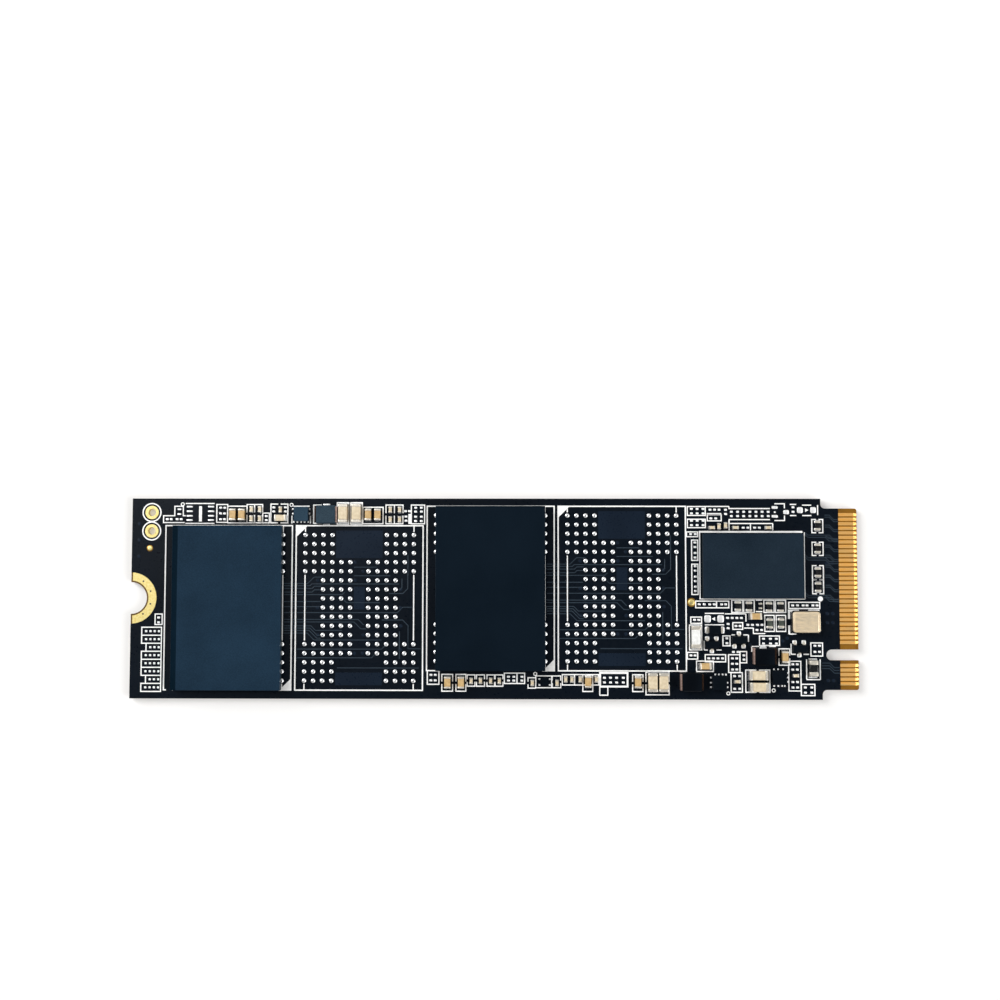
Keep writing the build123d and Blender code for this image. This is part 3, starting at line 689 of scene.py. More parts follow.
def fillet_places(bodies, terminals, reach):
    """Where each terminal of some chip bodies has its fillet: at the face away from the body."""
    places = []
    ends = blocks(terminals)
    for body in [block for name in bodies for block in blocks(name)]:
        for low, high in ends:
            if not touch(body, (low, high)):
                continue
            center = (low + high) / 2
            away = center - (body[0] + body[1]) / 2
            size = high - low
            if abs(away.x) > abs(away.y):
                x, turn = (high.x, 0) if away.x > 0 else (low.x, 180)
                y, width = center.y, size.y
            else:
                y, turn = (high.y, 90) if away.y > 0 else (low.y, -90)
                x, width = center.x, size.x
            places.append(lay(x, y, turn=turn, size=(reach, width, size.z * FILLET_RISE)))
    return places


# One fillet, a millimetre long, wide and high, hollowed towards the board
fillet = start_block("fillet", (1, 1, 1), (0.5, 0, 0), SOLDER)
for reach in (0.25, 0.6):
    cut_across((1, 0, 0), reach)
for reach, level in ((0.25, 0.5), (0.6, 0.2), (1, 0.06)):
    choose_edges(lambda place, along: abs(place.x - reach) < 0.01 and place.z > 0.9 and abs(along.y) > 0.9)
    shift_up(level - 1)
close_mesh(fillet, 60)

# Which bodies have which terminals, and how far their fillets reach over the board
FILLETS = [
    ([f"bulk_capacitor_{number}" for number in range(1, 7)], "bulk_capacitor_terminals", 0.1),
    ([f"filter_capacitor_{number}" for number in range(1, 13)], "filter_capacitor_terminals", 0.09),
    (["small_capacitors"], "small_capacitor_terminals", 0.06),
    (["resistors"], "resistor_terminals", 0.1),
    (["fuse"], "fuse_terminals", 0.2),
    (["ferrite_bead"], "ferrite_bead_terminals", 0.2),
]
fillets = [place for row in FILLETS for place in fillet_places(*row)]
settle(lay_copies("chip_solder_fillets", fillet, fillets), "solder")

# End terminals of the large capacitors: one rounded cap, a millimetre each way before it is scaled
cap = start_block("cap", (1, 1, 1), (0, 0, 0), TIN)
bevel_edges(0.08, 2)
close_mesh(cap)
caps = []
for low, high in blocks("bulk_capacitor_terminals"):
    size = high - low
    size.x *= APART if size.x > size.y else 1
    size.y *= APART if size.y > size.x else 1
    caps.append(lay((low.x + high.x) / 2, (low.y + high.y) / 2, low.z, 0, size))
settle(lay_copies("bulk_capacitor_caps", cap, caps), "solder", "bulk_capacitor_terminals")

# Bare tinned lands, as columns, rows and the size of one land where it isn't a chip's
CHIP_LAND = (0.3, 0.23)
PIN_LAND = (0.18, 0.2)
SIDE_LAND = (0.2, 0.18)
LEAD_LAND = (0.46, 0.42)
BARE_LANDS = [
    # Strip above sites 1 and 2
    ((-36.12, -35.69, -35.03, -34.57), (8.7,)),
    ((-34.79,), (9.8, 9.27), (0.4, 0.18)),
    ((-33.64, -31.27), (10.09, 9.58, 9.07, 8.6), (0.66, 0.19)),
    ((-30.2, -29.75), (9.97, 9.33, 8.69)),
    ((-25.13,), (9.04, 8.59)),
    ((-24.31, -23.03), (10.01, 9.56)),
    ((-22.19, -20.36), (9.83, 9.33), SIDE_LAND),
    ((-22.1, -21.7, -21.3, -20.9, -20.5), (8.42,), PIN_LAND),
    ((-9.73, -9.29), (9.61,)),
    ((-9.67,), (9.01, 8.56)),
    ((-8.6, -7.96), (9.99, 9.56, 8.99, 8.51)),
    # Strip below sites 3 and 4
    ((-6.84, -6.36), (-8.37, -8.97)),
    ((1.66, 2.25, 3.14), (-8.55, -8.97)),
    ((5.06, 6.18), (-8.81, -9.44), SIDE_LAND),
    ((12.17, 12.84, 13.51, 14.24), (-8.65, -9.16)),
    # Controller's bay, above and beside the controller
    ((21.82, 22.45, 23.1), (9.88, 9.38, 8.57, 8.08)),
    ((23.87, 24.37, 24.86), (9.79,)),
    ((25.58,), (9.78, 9.32)),
    ((23.96, 24.49), (8.83,)),
    ((26.22, 26.9, 27.57, 28.25, 28.92, 29.6, 30.27), (9.56, 9.09)),
    ((30.98,), (10.04, 9.06), (0.66, 0.3)),
    ((31.0,), (9.52,), SIDE_LAND),
    ((32.23,), (9.53,), (0.6, 0.45)),
    ((33.0,), (10.06, 9.56)),
    ((33.75, 35.2), (9.75,), (0.62, 0.65)),
    ((22.2,), (6.17, 5.67, 5.02, 4.52, 3.57, 3.07, 2.41, 1.92, 1.31, 0.84)),
    ((21.72, 22.24), (7.1,)),
    ((27.5, 28.02, 28.76, 29.28), (7.8,)),
    # Controller's bay, below the controller
    ((22.6, 23.15, 23.75, 24.25, 25.05, 25.5), (-0.61,)),
    ((32.83, 33.36, 33.98, 34.4, 35.04, 35.5), (-0.72,)),
    ((22.08, 22.54), (-2.32,)),
    ((21.65, 22.1), (-6.2,)),
    ((23.5, 24.93), (-2.2,), (0.7, 0.8)),
    ((25.6,), (-4.33, -4.86)),
    ((25.7, 26.2, 26.7, 27.2), (-2.1,)),
    ((25.75,), (-2.76, -3.22)),
    ((26.6, 27.05), (-2.98,)),
    ((27.9, 28.4, 28.95, 29.45), (-2.85,)),
    ((28.9, 29.4), (-3.41,)),
    ((29.6, 30.35, 31.0), (-4.37, -4.89)),
    ((35.2, 35.7), (-5.12, -5.78)),
    ((34.1, 34.8), (-9.66, -10.22)),
    ((32.75, 33.25), (-7.14, -7.72, -9.07, -9.66)),
    ((30.7, 31.15, 31.7), (-7.7,), PIN_LAND),
    ((32.15,), (-8.08, -8.57, -9.04), SIDE_LAND),
    ((30.7, 31.15, 31.55, 31.85), (-9.48,), PIN_LAND),
    ((26.3, 26.8), (-5.81,)),
    ((26.18, 26.65), (-6.51, -7.1, -7.72)),
    ((27.45,), (-6.18, -6.64)),
    ((26.4, 26.95), (-8.44, -9.82)),
    ((24.3, 24.7, 25.1, 25.45), (-8.28,), PIN_LAND),
    ((23.82,), (-8.6, -9.16, -9.64), SIDE_LAND),
    ((25.6,), (-9.16, -9.64), SIDE_LAND),
    ((23.6, 24.1, 24.6, 25.1), (-6.51,)),
    # Lands that the transistors' and the diode's leads stand on
    ((23.44, 24.44), (-4.32,), LEAD_LAND),
    ((23.94,), (-5.76,), LEAD_LAND),
    ((26.91,), (-3.77,), LEAD_LAND),
    ((26.41, 27.41), (-5.22,), LEAD_LAND),
    ((32.99, 33.99), (-4.74,), LEAD_LAND),
    ((33.49,), (-6.18,), LEAD_LAND),
    ((23.42, 25.12), (-3.42,), (0.42, 0.75)),
    # Beside the inductors
    ((29.55,), (-5.37,), (0.75, 0.42)),
    ((-18.45,), (10.32, 8.12), (0.75, 0.2)),
    # Beside the first site
    ((-36.9,), (-2.15, -2.68)),
]
# Eight rows below the mounting notch, two of them a land shorter
ROW_STEP = 0.878
ROW_LAND = (0.24, 0.23)
ROW_COLUMNS = (-38.25, -37.77, -37.3, -36.83)
ROWS = [(-3.65 - ROW_STEP * row, row in (2, 6)) for row in range(8)]
for y, short in ROWS:
    BARE_LANDS.append((ROW_COLUMNS[1:] if short else ROW_COLUMNS, (y,), ROW_LAND))

# One land: a low pillow of tin with round corners, a millimetre square before it is scaled
land = start_block("land", (1, 1, 0.01), (0, 0, -0.01), LAND_TIN)
bevel_edges(0.22, 2, upright)
choose_faces(lambda place, facing: facing.z > 0.9)
shift_up(0.02)
rise((0.015, 0.9), (0.01, 0.66))
close_mesh(land, 60)
places = []
for columns, rows, *size in BARE_LANDS:
    length, width = size[0] if size else CHIP_LAND
    places += [lay(x, y, BOARD_TOP, 0, (length, width, 1)) for x in columns for y in rows]
# wide lands that show on both sides of each resistor's terminals
RESISTOR_LAND = 0.7
LAND_MARGIN = 0.06
for low, high in blocks("resistor_terminals"):
    length, width, _ = high - low
    if length > width:
        spread = (RESISTOR_LAND, width + LAND_MARGIN, 1)
    else:
        spread = (length + LAND_MARGIN, RESISTOR_LAND, 1)
    places.append(lay((low.x + high.x) / 2, (low.y + high.y) / 2, BOARD_TOP, 0, spread))
settle(lay_copies("bare_tinned_lands", land, places), "solder")

# Test holes and round lands, in place of their faceted CAD forms
HOLE_RADIUS = 0.43
HOLE_WALL = 0.05
HOLE_LAND = 0.74
LAND_STEP = 0.02  # how far a land stands back from its hole
FOIL = 0.036
SET_BACK = 0.004  # how far a barrel's ends lie behind the lands
holes = begin_flat("test_hole_barrels", LAND_GOLD)
hole_places = [(low + high) / 2 for low, high in blocks("test_hole_plating")]
for place in hole_places:
    draw_disc(place.x, place.y, HOLE_RADIUS + HOLE_WALL, HOLE_RADIUS, SET_BACK)
end_flat(holes, BOARD_TOP - 2 * SET_BACK)
hole_lands = begin_flat("test_hole_lands", LAND_GOLD)
for place in hole_places:
    for z in (0, BOARD_TOP - FOIL):
        draw_disc(place.x, place.y, HOLE_LAND, HOLE_RADIUS + LAND_STEP, z)
end_flat(hole_lands, FOIL)
pick(hole_lands, holes)
bpy.ops.object.join()
settle(holes, "gold_plating", "test_hole_plating")

# the lower discs keep within the facets of the CAD lands, and the upper ones stand out round them
LOWER_SHARE = 0.96
UPPER_SHARE = 1.15
discs = begin_flat("round_lands_bottom", LAND_GOLD)
for low, high in blocks("test_lands_bottom"):
    spot = (low + high) / 2
    draw_disc(spot.x, spot.y, (high.x - low.x) / 2 * LOWER_SHARE, 0, 0)
settle(end_flat(discs, FOIL), "gold_plating", "test_lands_bottom")
# each upper land's rim is painted brown-gold round a bright middle: a painted dark reflection
dot = start_disc("dot", 1, 32, GOLD_PAINTED_DARK_RIM)
rise((FOIL, 1), (0.004, 0.7), (0.016, 0.92), (0.012, 0.75))
paint(dot, LAND_GOLD, lambda place, facing: place.z > FOIL + 0.006)
close_mesh(dot, 60)
dots = []
for low, high in blocks("test_lands_top"):
    spot = (low + high) / 2
    radius = (high.x - low.x) / 2 * UPPER_SHARE
    dots.append(lay(spot.x, spot.y, BOARD_TOP - FOIL, 0, (radius, radius, 1)))
settle(lay_copies("round_lands_top", dot, dots), "gold_plating", "test_lands_top")

# Gold tips that run on down the connector's bevel, on both faces
TIP_LENGTH = 0.28
TIP_WIDTH = 0.3
TIP_HEIGHT = 0.02
TIP_CORNER = 0.1
BEVEL_SLOPE = 0.45  # drop of the card's bevel over its run
BEVEL_START = 39.6
tip = start_block("tip", (TIP_LENGTH, TIP_WIDTH, TIP_HEIGHT), (TIP_LENGTH / 2, 0, 0), CONTACT_GOLD)
choose_faces(lambda place, facing: facing.x > 0.9)
shift_up(-TIP_LENGTH * BEVEL_SLOPE)
bevel_edges(TIP_CORNER, 3, lambda place, along: upright(place, along) and place.x > TIP_LENGTH / 2)
close_mesh(tip)
tip_places = []
for side, face, toward in (("top", BOARD_TOP, 1), ("bottom", 0, -1)):
    for low, high in blocks(f"edge_contacts_{side}"):
        drop = (high.x - BEVEL_START) * BEVEL_SLOPE + SUNK
        tip_places.append(lay(high.x, (low.y + high.y) / 2, face - toward * drop, 0, (1, 1, toward)))
tips = lay_copies("contact_tips", tip, tip_places)
open_mesh(tips)
settle(close_mesh(tips), "gold_plating")

# Printed lines
LINE = 0.12
BRACKET_GAP = 0.28
PRINT_FOOT = BOARD_TOP - SUNK
PRINT_HEIGHT = 0.02
# Printed shapes differ by a hair in level, so that no two faces coincide where lines cross
HAIRS = itertools.cycle(0.0012 * step for step in range(8))


def print_line(x0, y0, x1, y1, width=LINE):
    """A printed line along X or Y between two points."""
    half = width / 2
    if abs(y1 - y0) < abs(x1 - x0):
        draw_plate(min(x0, x1), y0 - half, max(x0, x1), y0 + half, PRINT_FOOT + next(HAIRS))
    else:
        draw_plate(x0 - half, min(y0, y1), x0 + half, max(y0, y1), PRINT_FOOT + next(HAIRS))


def print_frame(x0, y0, x1, y1, width=LINE):
    """A printed hollow rectangle between its outer corners."""
    draw_plate(x0, y0, x1, y1, PRINT_FOOT + next(HAIRS))
    bpy.ops.mesh.inset(thickness=width * MM)
    bpy.ops.mesh.delete(type="FACE")


def print_brackets(x0, y0, x1, y1, on_sides):
    """A printed rectangle whose sides, or else its top and bottom, have a gap in the middle."""
    half = LINE / 2
    left, right = x0 + half, x1 - half
    near_x, far_x = (x0 + x1 - BRACKET_GAP) / 2, (x0 + x1 + BRACKET_GAP) / 2
    near_y, far_y = (y0 + y1 - BRACKET_GAP) / 2, (y0 + y1 + BRACKET_GAP) / 2
    for x in (left, right):
        for start, stop in ((y0, near_y), (far_y, y1)) if on_sides else ((y0, y1),):
            print_line(x, start, x, stop)
    for y in (y0 + half, y1 - half):
        for start, stop in ((left, right),) if on_sides else ((left, near_x), (far_x, right)):
            print_line(start, y, stop, y)


def print_corner(x, y, across, up):
    """A filled corner mark: half of the square between a corner and the point across and up from it."""
    level = PRINT_FOOT + next(HAIRS)
    draw_plate(min(x, x + across), min(y, y + up), max(x, x + across), max(y, y + up), level)
    bpy.ops.mesh.bisect(
        plane_co=((x + across) * MM, y * MM, level * MM),
        plane_no=(up, across, 0),
        clear_outer=across * up > 0,
        clear_inner=across * up < 0,
    )


def print_arrow(x, y, radius, turn):
    """A filled triangle that points along a turn."""
    bpy.ops.mesh.primitive_circle_add(
        vertices=3,
        radius=radius * MM,
        fill_type="NGON",
        location=(x * MM, y * MM, PRINT_FOOT * MM),
        rotation=(0, 0, math.radians(turn - 90)),
    )


def print_ring(x, y, radius, hole, sides=32):
    """A printed ring, or a dot where the hole's radius is zero."""
    draw_disc(x, y, radius, hole, PRINT_FOOT + next(HAIRS), sides)


# Print of the four flash sites
SITE_HALF_WIDTH = 7.08
SITE_HALF_LENGTH = 9.1
SITE_LINE = 0.14
LINE_END = 0.05  # how far a level line ends inside the frame
STUB_END = 0.35  # where the lower line goes under the package
SIDE_REACH = 3.6
TICK = 0.75
CORNER_MARK = 1.4
site_print = begin_flat("flash_site_print", INK)
for number, site in enumerate(SITE_MIDDLES):
    left, right = site.x - SITE_HALF_WIDTH, site.x + SITE_HALF_WIDTH
    low, high = site.y - SITE_HALF_LENGTH, site.y + SITE_HALF_LENGTH
    half = SITE_LINE / 2
    filled = number in (0, 2)
    if filled:
        # the package hides most of the lower line
        print_line(left + half, low, left + half, high, SITE_LINE)
        print_line(right - half, low, right - half, high, SITE_LINE)
        print_line(left + LINE_END, high - half, right - LINE_END, high - half, SITE_LINE)
        print_line(left + LINE_END, low + half, left + STUB_END, low + half, SITE_LINE)
    else:
        print_frame(left, low, right, high, SITE_LINE)
    for side in (-1, 1):
        x = site.x + side * BALL_COLUMNS * BALL_PITCH
        print_line(x, site.y - SIDE_REACH, x, site.y + SIDE_REACH)
        print_line(x, low, x, low + TICK)
        print_line(x, high, x, high - TICK)
    if filled:
        print_corner(right, low, -CORNER_MARK, CORNER_MARK)
    else:
        print_corner(left, high, CORNER_MARK, -CORNER_MARK)
settle(end_flat(site_print, PRINT_HEIGHT), None)

# Print round the small parts: frames by their outer corners, then single lines
FRAMES = [
    # Beside the first site
    (-37.35, -2.97, -36.45, -1.7),
    # Strip above sites 1 and 2
    (-30.7, 8.3, -29.38, 10.4), (-25.6, 8.25, -24.75, 9.45), (-17.35, 8.1, -15.95, 10.6),
    (-15.85, 8.1, -14.45, 10.6), (-14.5, 8.15, -12.15, 10.1), (-9.15, 8.15, -7.55, 10.35),
    # Strip below sites 3 and 4
    (-7.3, -9.45, -5.9, -7.85), (1.15, -9.35, 2.65, -8.1), (2.55, -9.35, 3.5, -8.1),
    (4.6, -9.8, 6.45, -8.4), (7.5, -9.5, 8.95, -8.25), (8.85, -9.5, 11.6, -8.25),
    (9.75, -10.2, 10.95, -8.25), (11.6, -9.7, 14.8, -8.02, 0.2), (11.6, -10.6, 12.6, -9.6),
    # Controller's bay, above and beside the controller
    (21.3, 9.1, 23.4, 10.2), (21.3, 7.75, 23.4, 8.8), (23.5, 8.5, 25.15, 9.3),
    (21.75, 4.15, 22.55, 6.5), (21.75, 0.4, 22.55, 3.85), (21.2, 6.75, 22.55, 7.4),
    # Controller's bay, below the controller
    (22.15, -1.05, 24.55, -0.2), (24.45, -1.05, 25.9, -0.2), (26.1, -1.55, 27.42, -0.1),
    (27.4, -1.55, 28.68, -0.1), (29.62, -1.55, 30.85, -0.1), (30.88, -1.55, 32.12, -0.1),
    (32.35, -1.12, 35.85, -0.32), (21.6, -2.75, 22.9, -1.95), (21.45, -5.65, 22.9, -2.82),
    (21.2, -6.65, 22.45, -5.8), (25.1, -5.2, 26.0, -4.0), (26.2, -3.4, 27.4, -2.55),
    (29.7, -3.62, 30.85, -1.75), (30.95, -3.62, 32.1, -1.75), (29.1, -5.15, 31.4, -4.0),
    (34.7, -6.3, 36.1, -4.75), (33.6, -10.6, 35.2, -9.25), (32.25, -10.1, 33.7, -6.75),
    (25.7, -8.1, 27.05, -6.05), (26.95, -7.05, 27.8, -5.7), (25.95, -10.25, 27.3, -8.0),
    (22.2, -8.0, 24.15, -6.75), (23.15, -6.95, 25.5, -6.05),
]
# Frames with a gap in the middle of two sides: those of upright parts, then those of level ones
UPRIGHT_BRACKETS = [
    (-5.7, -10.2, -4.4, -8.25), (-4.15, -10.2, -2.95, -8.25), (-2.92, -9.65, -1.95, -8.3),
    (-1.9, -9.65, -0.9, -8.3), (-0.75, -9.65, 0.2, -8.3), (0.15, -9.65, 1.12, -8.3),
    (15.2, -10.2, 16.45, -8.25), (16.65, -10.55, 19.3, -7.9), (3.75, -9.85, 4.7, -8.6),
    (6.4, -9.8, 7.45, -8.4), (-11.95, 8.15, -10.9, 10.35), (-11.02, 8.15, -9.95, 10.35),
    (-27.35, 8.25, -26.4, 10.4), (-26.5, 8.25, -25.5, 10.4), (31.2, -7.3, 32.5, -5.4),
]
LEVEL_BRACKETS = [
    (34.98, 7.2, 36.3, 8.78), (34.98, 4.7, 36.3, 6.27), (34.98, 2.05, 36.3, 3.7),
    (34.98, 0.5, 36.3, 2.15), (27.55, -10.25, 30.3, -7.72), (-24.7, 8.25, -22.7, 10.45),
]
LINES = [
    # Strip above sites 1 and 2
    (-36.6, 8.33, -34.2, 8.33), (-36.54, 8.27, -36.54, 9.15), (-36.6, 9.09, -35.25, 9.09),
    (-35.3, 9.03, -35.3, 10.2), (-35.36, 10.14, -34.3, 10.14), (-34.36, 10.2, -34.36, 9.1),
    (-34.42, 9.09, -34.1, 9.09), (-34.1, 10.45, -30.9, 10.45), (-34.1, 8.25, -30.9, 8.25),
    (-29.45, 10.15, -27.3, 10.15), (-29.45, 8.3, -27.3, 8.3), (-22.15, 10.15, -20.35, 10.15),
    (-22.3, 8.25, -22.3, 9.1), (-20.25, 8.25, -20.25, 9.1), (-19.9, 10.28, -19.0, 10.28),
    (-19.9, 8.26, -19.0, 8.26), (-19.9, 10.34, -19.9, 8.2),
    # Strip below sites 3 and 4
    (16.7, -7.98, 19.25, -7.98, 0.24),
    # Controller's bay, above and beside the controller
    (23.4, 10.15, 25.95, 10.15), (25.95, 10.15, 25.95, 9.92), (25.9, 9.92, 30.45, 9.92),
    (25.9, 8.7, 30.45, 8.7), (30.95, 10.45, 32.1, 10.45), (30.95, 8.6, 32.1, 8.6),
    (32.05, 10.5, 32.05, 9.95), (32.05, 9.15, 32.05, 8.55), (32.65, 10.38, 33.35, 10.38),
    (32.65, 9.15, 33.35, 9.15), (34.0, 10.3, 35.0, 10.3), (34.0, 9.15, 35.0, 9.15),
    (35.7, 9.2, 35.7, 10.3), (26.05, 8.27, 30.75, 8.27), (28.3, 7.5, 28.3, 8.27),
    (30.75, 7.5, 30.75, 8.27), (25.95, 7.5, 25.95, 8.7), (22.7, 0.0, 22.7, 7.4),
    (22.62, -0.03, 34.2, -0.03, 0.08),
    # Controller's bay, below the controller
    (28.8, -0.15, 29.5, -0.15), (28.8, -1.4, 29.5, -1.4), (32.3, -1.3, 33.5, -1.3, 0.25),
    (34.52, -1.3, 35.75, -1.3, 0.25), (32.42, -1.3, 32.42, -2.2, 0.22), (32.42, -2.9, 32.42, -3.85, 0.22),
    (32.4, -3.85, 33.2, -3.85), (23.2, -1.6, 25.3, -1.6), (23.2, -2.85, 25.3, -2.85),
    (25.4, -1.65, 27.7, -1.65), (27.7, -1.65, 27.7, -2.5), (27.5, -3.2, 28.5, -3.2),
    (28.5, -3.2, 28.5, -3.8), (28.5, -3.8, 29.8, -3.8), (23.1, -4.6, 23.1, -5.6),
    (23.1, -5.6, 23.5, -5.6), (24.45, -5.6, 25.0, -5.6), (26.1, -3.95, 26.5, -3.95),
    (27.4, -3.95, 27.95, -3.95), (27.95, -3.95, 27.95, -4.7), (28.3, -5.25, 28.3, -5.8),
    (28.3, -5.2, 29.1, -5.2), (30.2, -5.2, 30.95, -5.2), (32.6, -4.9, 32.6, -6.05),
    (32.6, -6.05, 33.1, -6.05), (33.95, -6.05, 34.55, -6.05), (34.27, -6.6, 34.27, -8.8),
    (35.75, -6.6, 35.75, -8.8), (34.27, -8.8, 35.75, -8.8), (20.4, -7.95, 21.1, -7.95),
    (22.3, -7.95, 23.0, -7.95),
]
part_print = begin_flat("small_part_print", INK)
for corners in FRAMES:
    print_frame(*corners)
for y, short in ROWS:
    left = -38.3 if short else -38.8
    print_frame(left, y - 0.5, -36.5, y + 0.5)
for corners in UPRIGHT_BRACKETS:
    print_brackets(*corners, True)
for corners in LEVEL_BRACKETS:
    print_brackets(*corners, False)
for line in LINES:
    print_line(*line)
settle(end_flat(part_print, PRINT_HEIGHT), None)

# Rings, bars, arrows and dots
RINGS = ((-34.43, 10.36), (-22.36, 10.3), (4.6, -8.24), (30.65, -9.99), (25.7, -10.32))
BARS = [
    (-32.45, 8.45, -32.45, 10.15, 0.32),
    (-9.25, 8.2, -9.25, 9.3, 0.32),
    (22.62, 7.35, 34.0, 7.35, 0.2),
    (34.2, 0.0, 34.2, 7.3, 0.08),
    (23.5, 9.32, 25.1, 9.32, 0.2),
]
HOLE_RING = (1.06, 0.92)  # outer and inner radius
SMALL_RING = (0.22, 0.12)
DOT_RADIUS = 0.28
ARROW_RADIUS = 0.24
marks = begin_flat("printed_marks", INK)
for place in hole_places:
    print_ring(place.x, place.y, *HOLE_RING, 48)
for x, y in RINGS:
    print_ring(x, y, *SMALL_RING)
for bar in BARS:
    print_line(*bar)
print_ring(35.87, 0.0, DOT_RADIUS, 0)
print_arrow(34.45, 9.75, ARROW_RADIUS, 0)
print_arrow(24.2, -2.2, ARROW_RADIUS, 180)
settle(end_flat(marks, PRINT_HEIGHT), None)

# Copper under the mask: low ridges along runs of points, from the middle of a spare site
SITE_RUNS = [
    [(-8.3, 2.65), (-5.7, 2.65), (-5.0, 3.35), (-4.0, 3.35)],
    [(-8.3, 2.4), (-5.45, 2.4), (-5.25, 2.6), (4.4, 2.6)],
    [(-8.3, 2.1), (-5.2, 2.1), (-4.95, 2.35), (-4.2, 2.35)],
    [(-8.3, 1.7), (-5.2, 1.7), (-4.95, 1.95), (-4.2, 1.95)],
    [(-8.3, 1.42), (-1.9, 1.42), (-1.6, 1.7)],
    [(-8.3, 0.66), (-4.3, 0.66)],
    [(-8.3, 0.1), (-4.3, 0.1)],
    [(-1.7, 0.85), (-1.4, 0.55), (2.3, 0.55)],
    [(-8.3, -0.55), (4.2, -0.55), (4.8, 0.05), (5.8, 0.05)],
    [(-8.3, -1.3), (-0.1, -1.3), (0.5, -1.9)],
    [(-8.3, -1.58), (-0.55, -1.58), (0.2, -2.33), (0.8, -2.33)],
    [(-8.3, -2.0), (-5.3, -2.0), (-4.8, -2.5), (-1.9, -2.5)],
    [(-8.3, -2.25), (-5.4, -2.25), (-4.6, -3.05), (-4.0, -3.05)],
    [(-8.3, -2.5), (-5.5, -2.5), (-4.65, -3.35), (-4.2, -3.35)],
    [(-8.3, -2.8), (-5.7, -2.8), (-4.95, -3.55), (2.5, -3.55)],
    [(-7.0, -4.55), (2.5, -4.55), (2.9, -4.15)],
    [(-7.0, -5.5), (1.4, -5.5), (1.7, -5.2)],
    [(-2.4, -6.6), (6.6, -6.6)],
    [(5.35, 5.8), (5.35, 2.1), (4.8, 1.55), (3.3, 1.55)],
    [(4.7, 3.2), (4.7, 2.2), (4.4, 1.9)],
    [(4.45, -2.6), (4.45, -5.6)],
    [(2.5, -1.35), (4.8, -1.35), (5.4, -1.95), (5.4, -4.5), (6.8, -4.5)],
    [(-0.6, 4.45), (1.9, 4.45)],
    [(-0.6, 3.5), (3.4, 3.5)],
]
RUNS = [[(site.x + x, site.y + y) for x, y in run] for site in SPARE_SITES for run in SITE_RUNS]
# Pairs from the controller's side to the contacts, each with a slanted step
PAIR_STEP = 1.1
PAIR_GAP = 0.22
for step in range(9):
    for gap in (0, PAIR_GAP):
        end = 8.7 - PAIR_STEP * step
        start, stop = end + 0.5 - gap, end - gap
        RUNS.append([(36.45, start), (36.95, start), (37.45, stop), (37.95, stop)])
for y in (6.9, 6.65, 4.4, 4.15, 0.25, 0.02):
    RUNS.append([(34.3, y + 0.4), (34.6, y + 0.1), (36.5, y + 0.1), (36.9, y - 0.3), (37.9, y - 0.3)])
# Three runs below the key
KEY_RUN_STEP = 0.3
for step in range(3):
    y = -7.0 - KEY_RUN_STEP * step
    RUNS.append([(35.9, y), (36.8, y), (37.3, y - 0.5), (37.9, y - 0.5)])

# Runs on the lower face, each as a path, the number of lines side by side and the step between them
ASLANT = (0.12, -0.3)
LEFTWARDS = (-0.3, 0)
ALONE = (0, 0)
BUNDLES = [
    ([(22.4, 2.7), (18.2, -1.5), (13.2, -1.5), (12.2, -2.5), (-3.0, -2.5)], 5, ASLANT),
    ([(18.0, 1.8), (9.5, 1.8), (8.2, 0.5), (-7.4, 0.5), (-8.4, -0.5), (-10.4, -0.5)], 4, ASLANT),
    ([(19.0, 4.4), (10.0, 4.4), (8.6, 3.0), (-5.0, 3.0)], 4, ASLANT),
    ([(20.5, 7.2), (8.5, 7.2), (7.4, 6.1), (5.2, 6.1)], 3, ASLANT),
    ([(24.0, -6.3), (22.4, -7.9), (12.0, -7.9), (10.8, -9.1), (3.0, -9.1)], 3, ASLANT),
    ([(26.3, -3.9), (21.2, -3.9), (19.2, -5.9), (16.2, -5.9)], 1, ALONE),
    (
        [(0.4, -4.6), (-0.7, -3.5), (-2.7, -3.5), (-5.2, -6.0)]
        + [(-8.9, -6.0), (-11.6, -3.3), (-14.7, -3.3), (-16.0, -4.6)],
        2,
        (0, -0.32),
    ),
    ([(36.0, 10.2), (-36.4, 10.2)], 2, (0, -0.5)),
    ([(10.0, -8.55), (-32.1, -8.55), (-33.6, -10.05), (-37.6, -10.05)], 1, ALONE),
    ([(-30.6, 9.0), (-34.8, 4.8)], 3, LEFTWARDS),
    ([(-13.4, 7.3), (-16.7, 4.0), (-16.7, -1.3)], 1, ALONE),
    ([(-11.6, 3.4), (-15.3, -0.3), (-15.3, -2.3)], 3, LEFTWARDS),
    ([(-29.7, -0.1), (-32.2, -2.6), (-32.2, -6.5)], 3, LEFTWARDS),
    ([(33.5, 6.5), (30.0, 6.5), (28.6, 5.1), (24.2, 5.1)], 4, ASLANT),
]
LOWER_RUNS = []
for path, count, (across, up) in BUNDLES:
    for step in range(count):
        LOWER_RUNS.append([(x + step * across, y + step * up) for x, y in path])
RUN_WIDTH = 0.09


def lay_ridges(name, runs, level):
    """Flat ridges along runs of points, half sunk in the board's face at a level."""
    paths = bpy.data.curves.new(name, "CURVE")
    paths.dimensions = "3D"
    paths.bevel_depth = RUN_WIDTH / 2 * MM
    paths.bevel_resolution = 1
    paths.use_fill_caps = True
    for run in runs:
        spline = paths.splines.new("POLY")
        spline.points.add(len(run) - 1)
        for point, (x, y) in zip(spline.points, run):
            point.co = (x * MM, y * MM, 0, 1)
    ridges = add_object(name, paths)
    pick(ridges)
    bpy.ops.object.convert(target="MESH")
    ridges.scale = (1, 1, RELIEF / (RUN_WIDTH / 2))
    ridges.location = (0, 0, level * MM)
    bpy.ops.object.transform_apply(location=True, rotation=True, scale=True)
    ridges.data.materials.clear()
    ridges.data.materials.append(COVERED_TRACE)
    open_mesh(ridges)
    return settle(close_mesh(ridges, 60), "solder_mask")


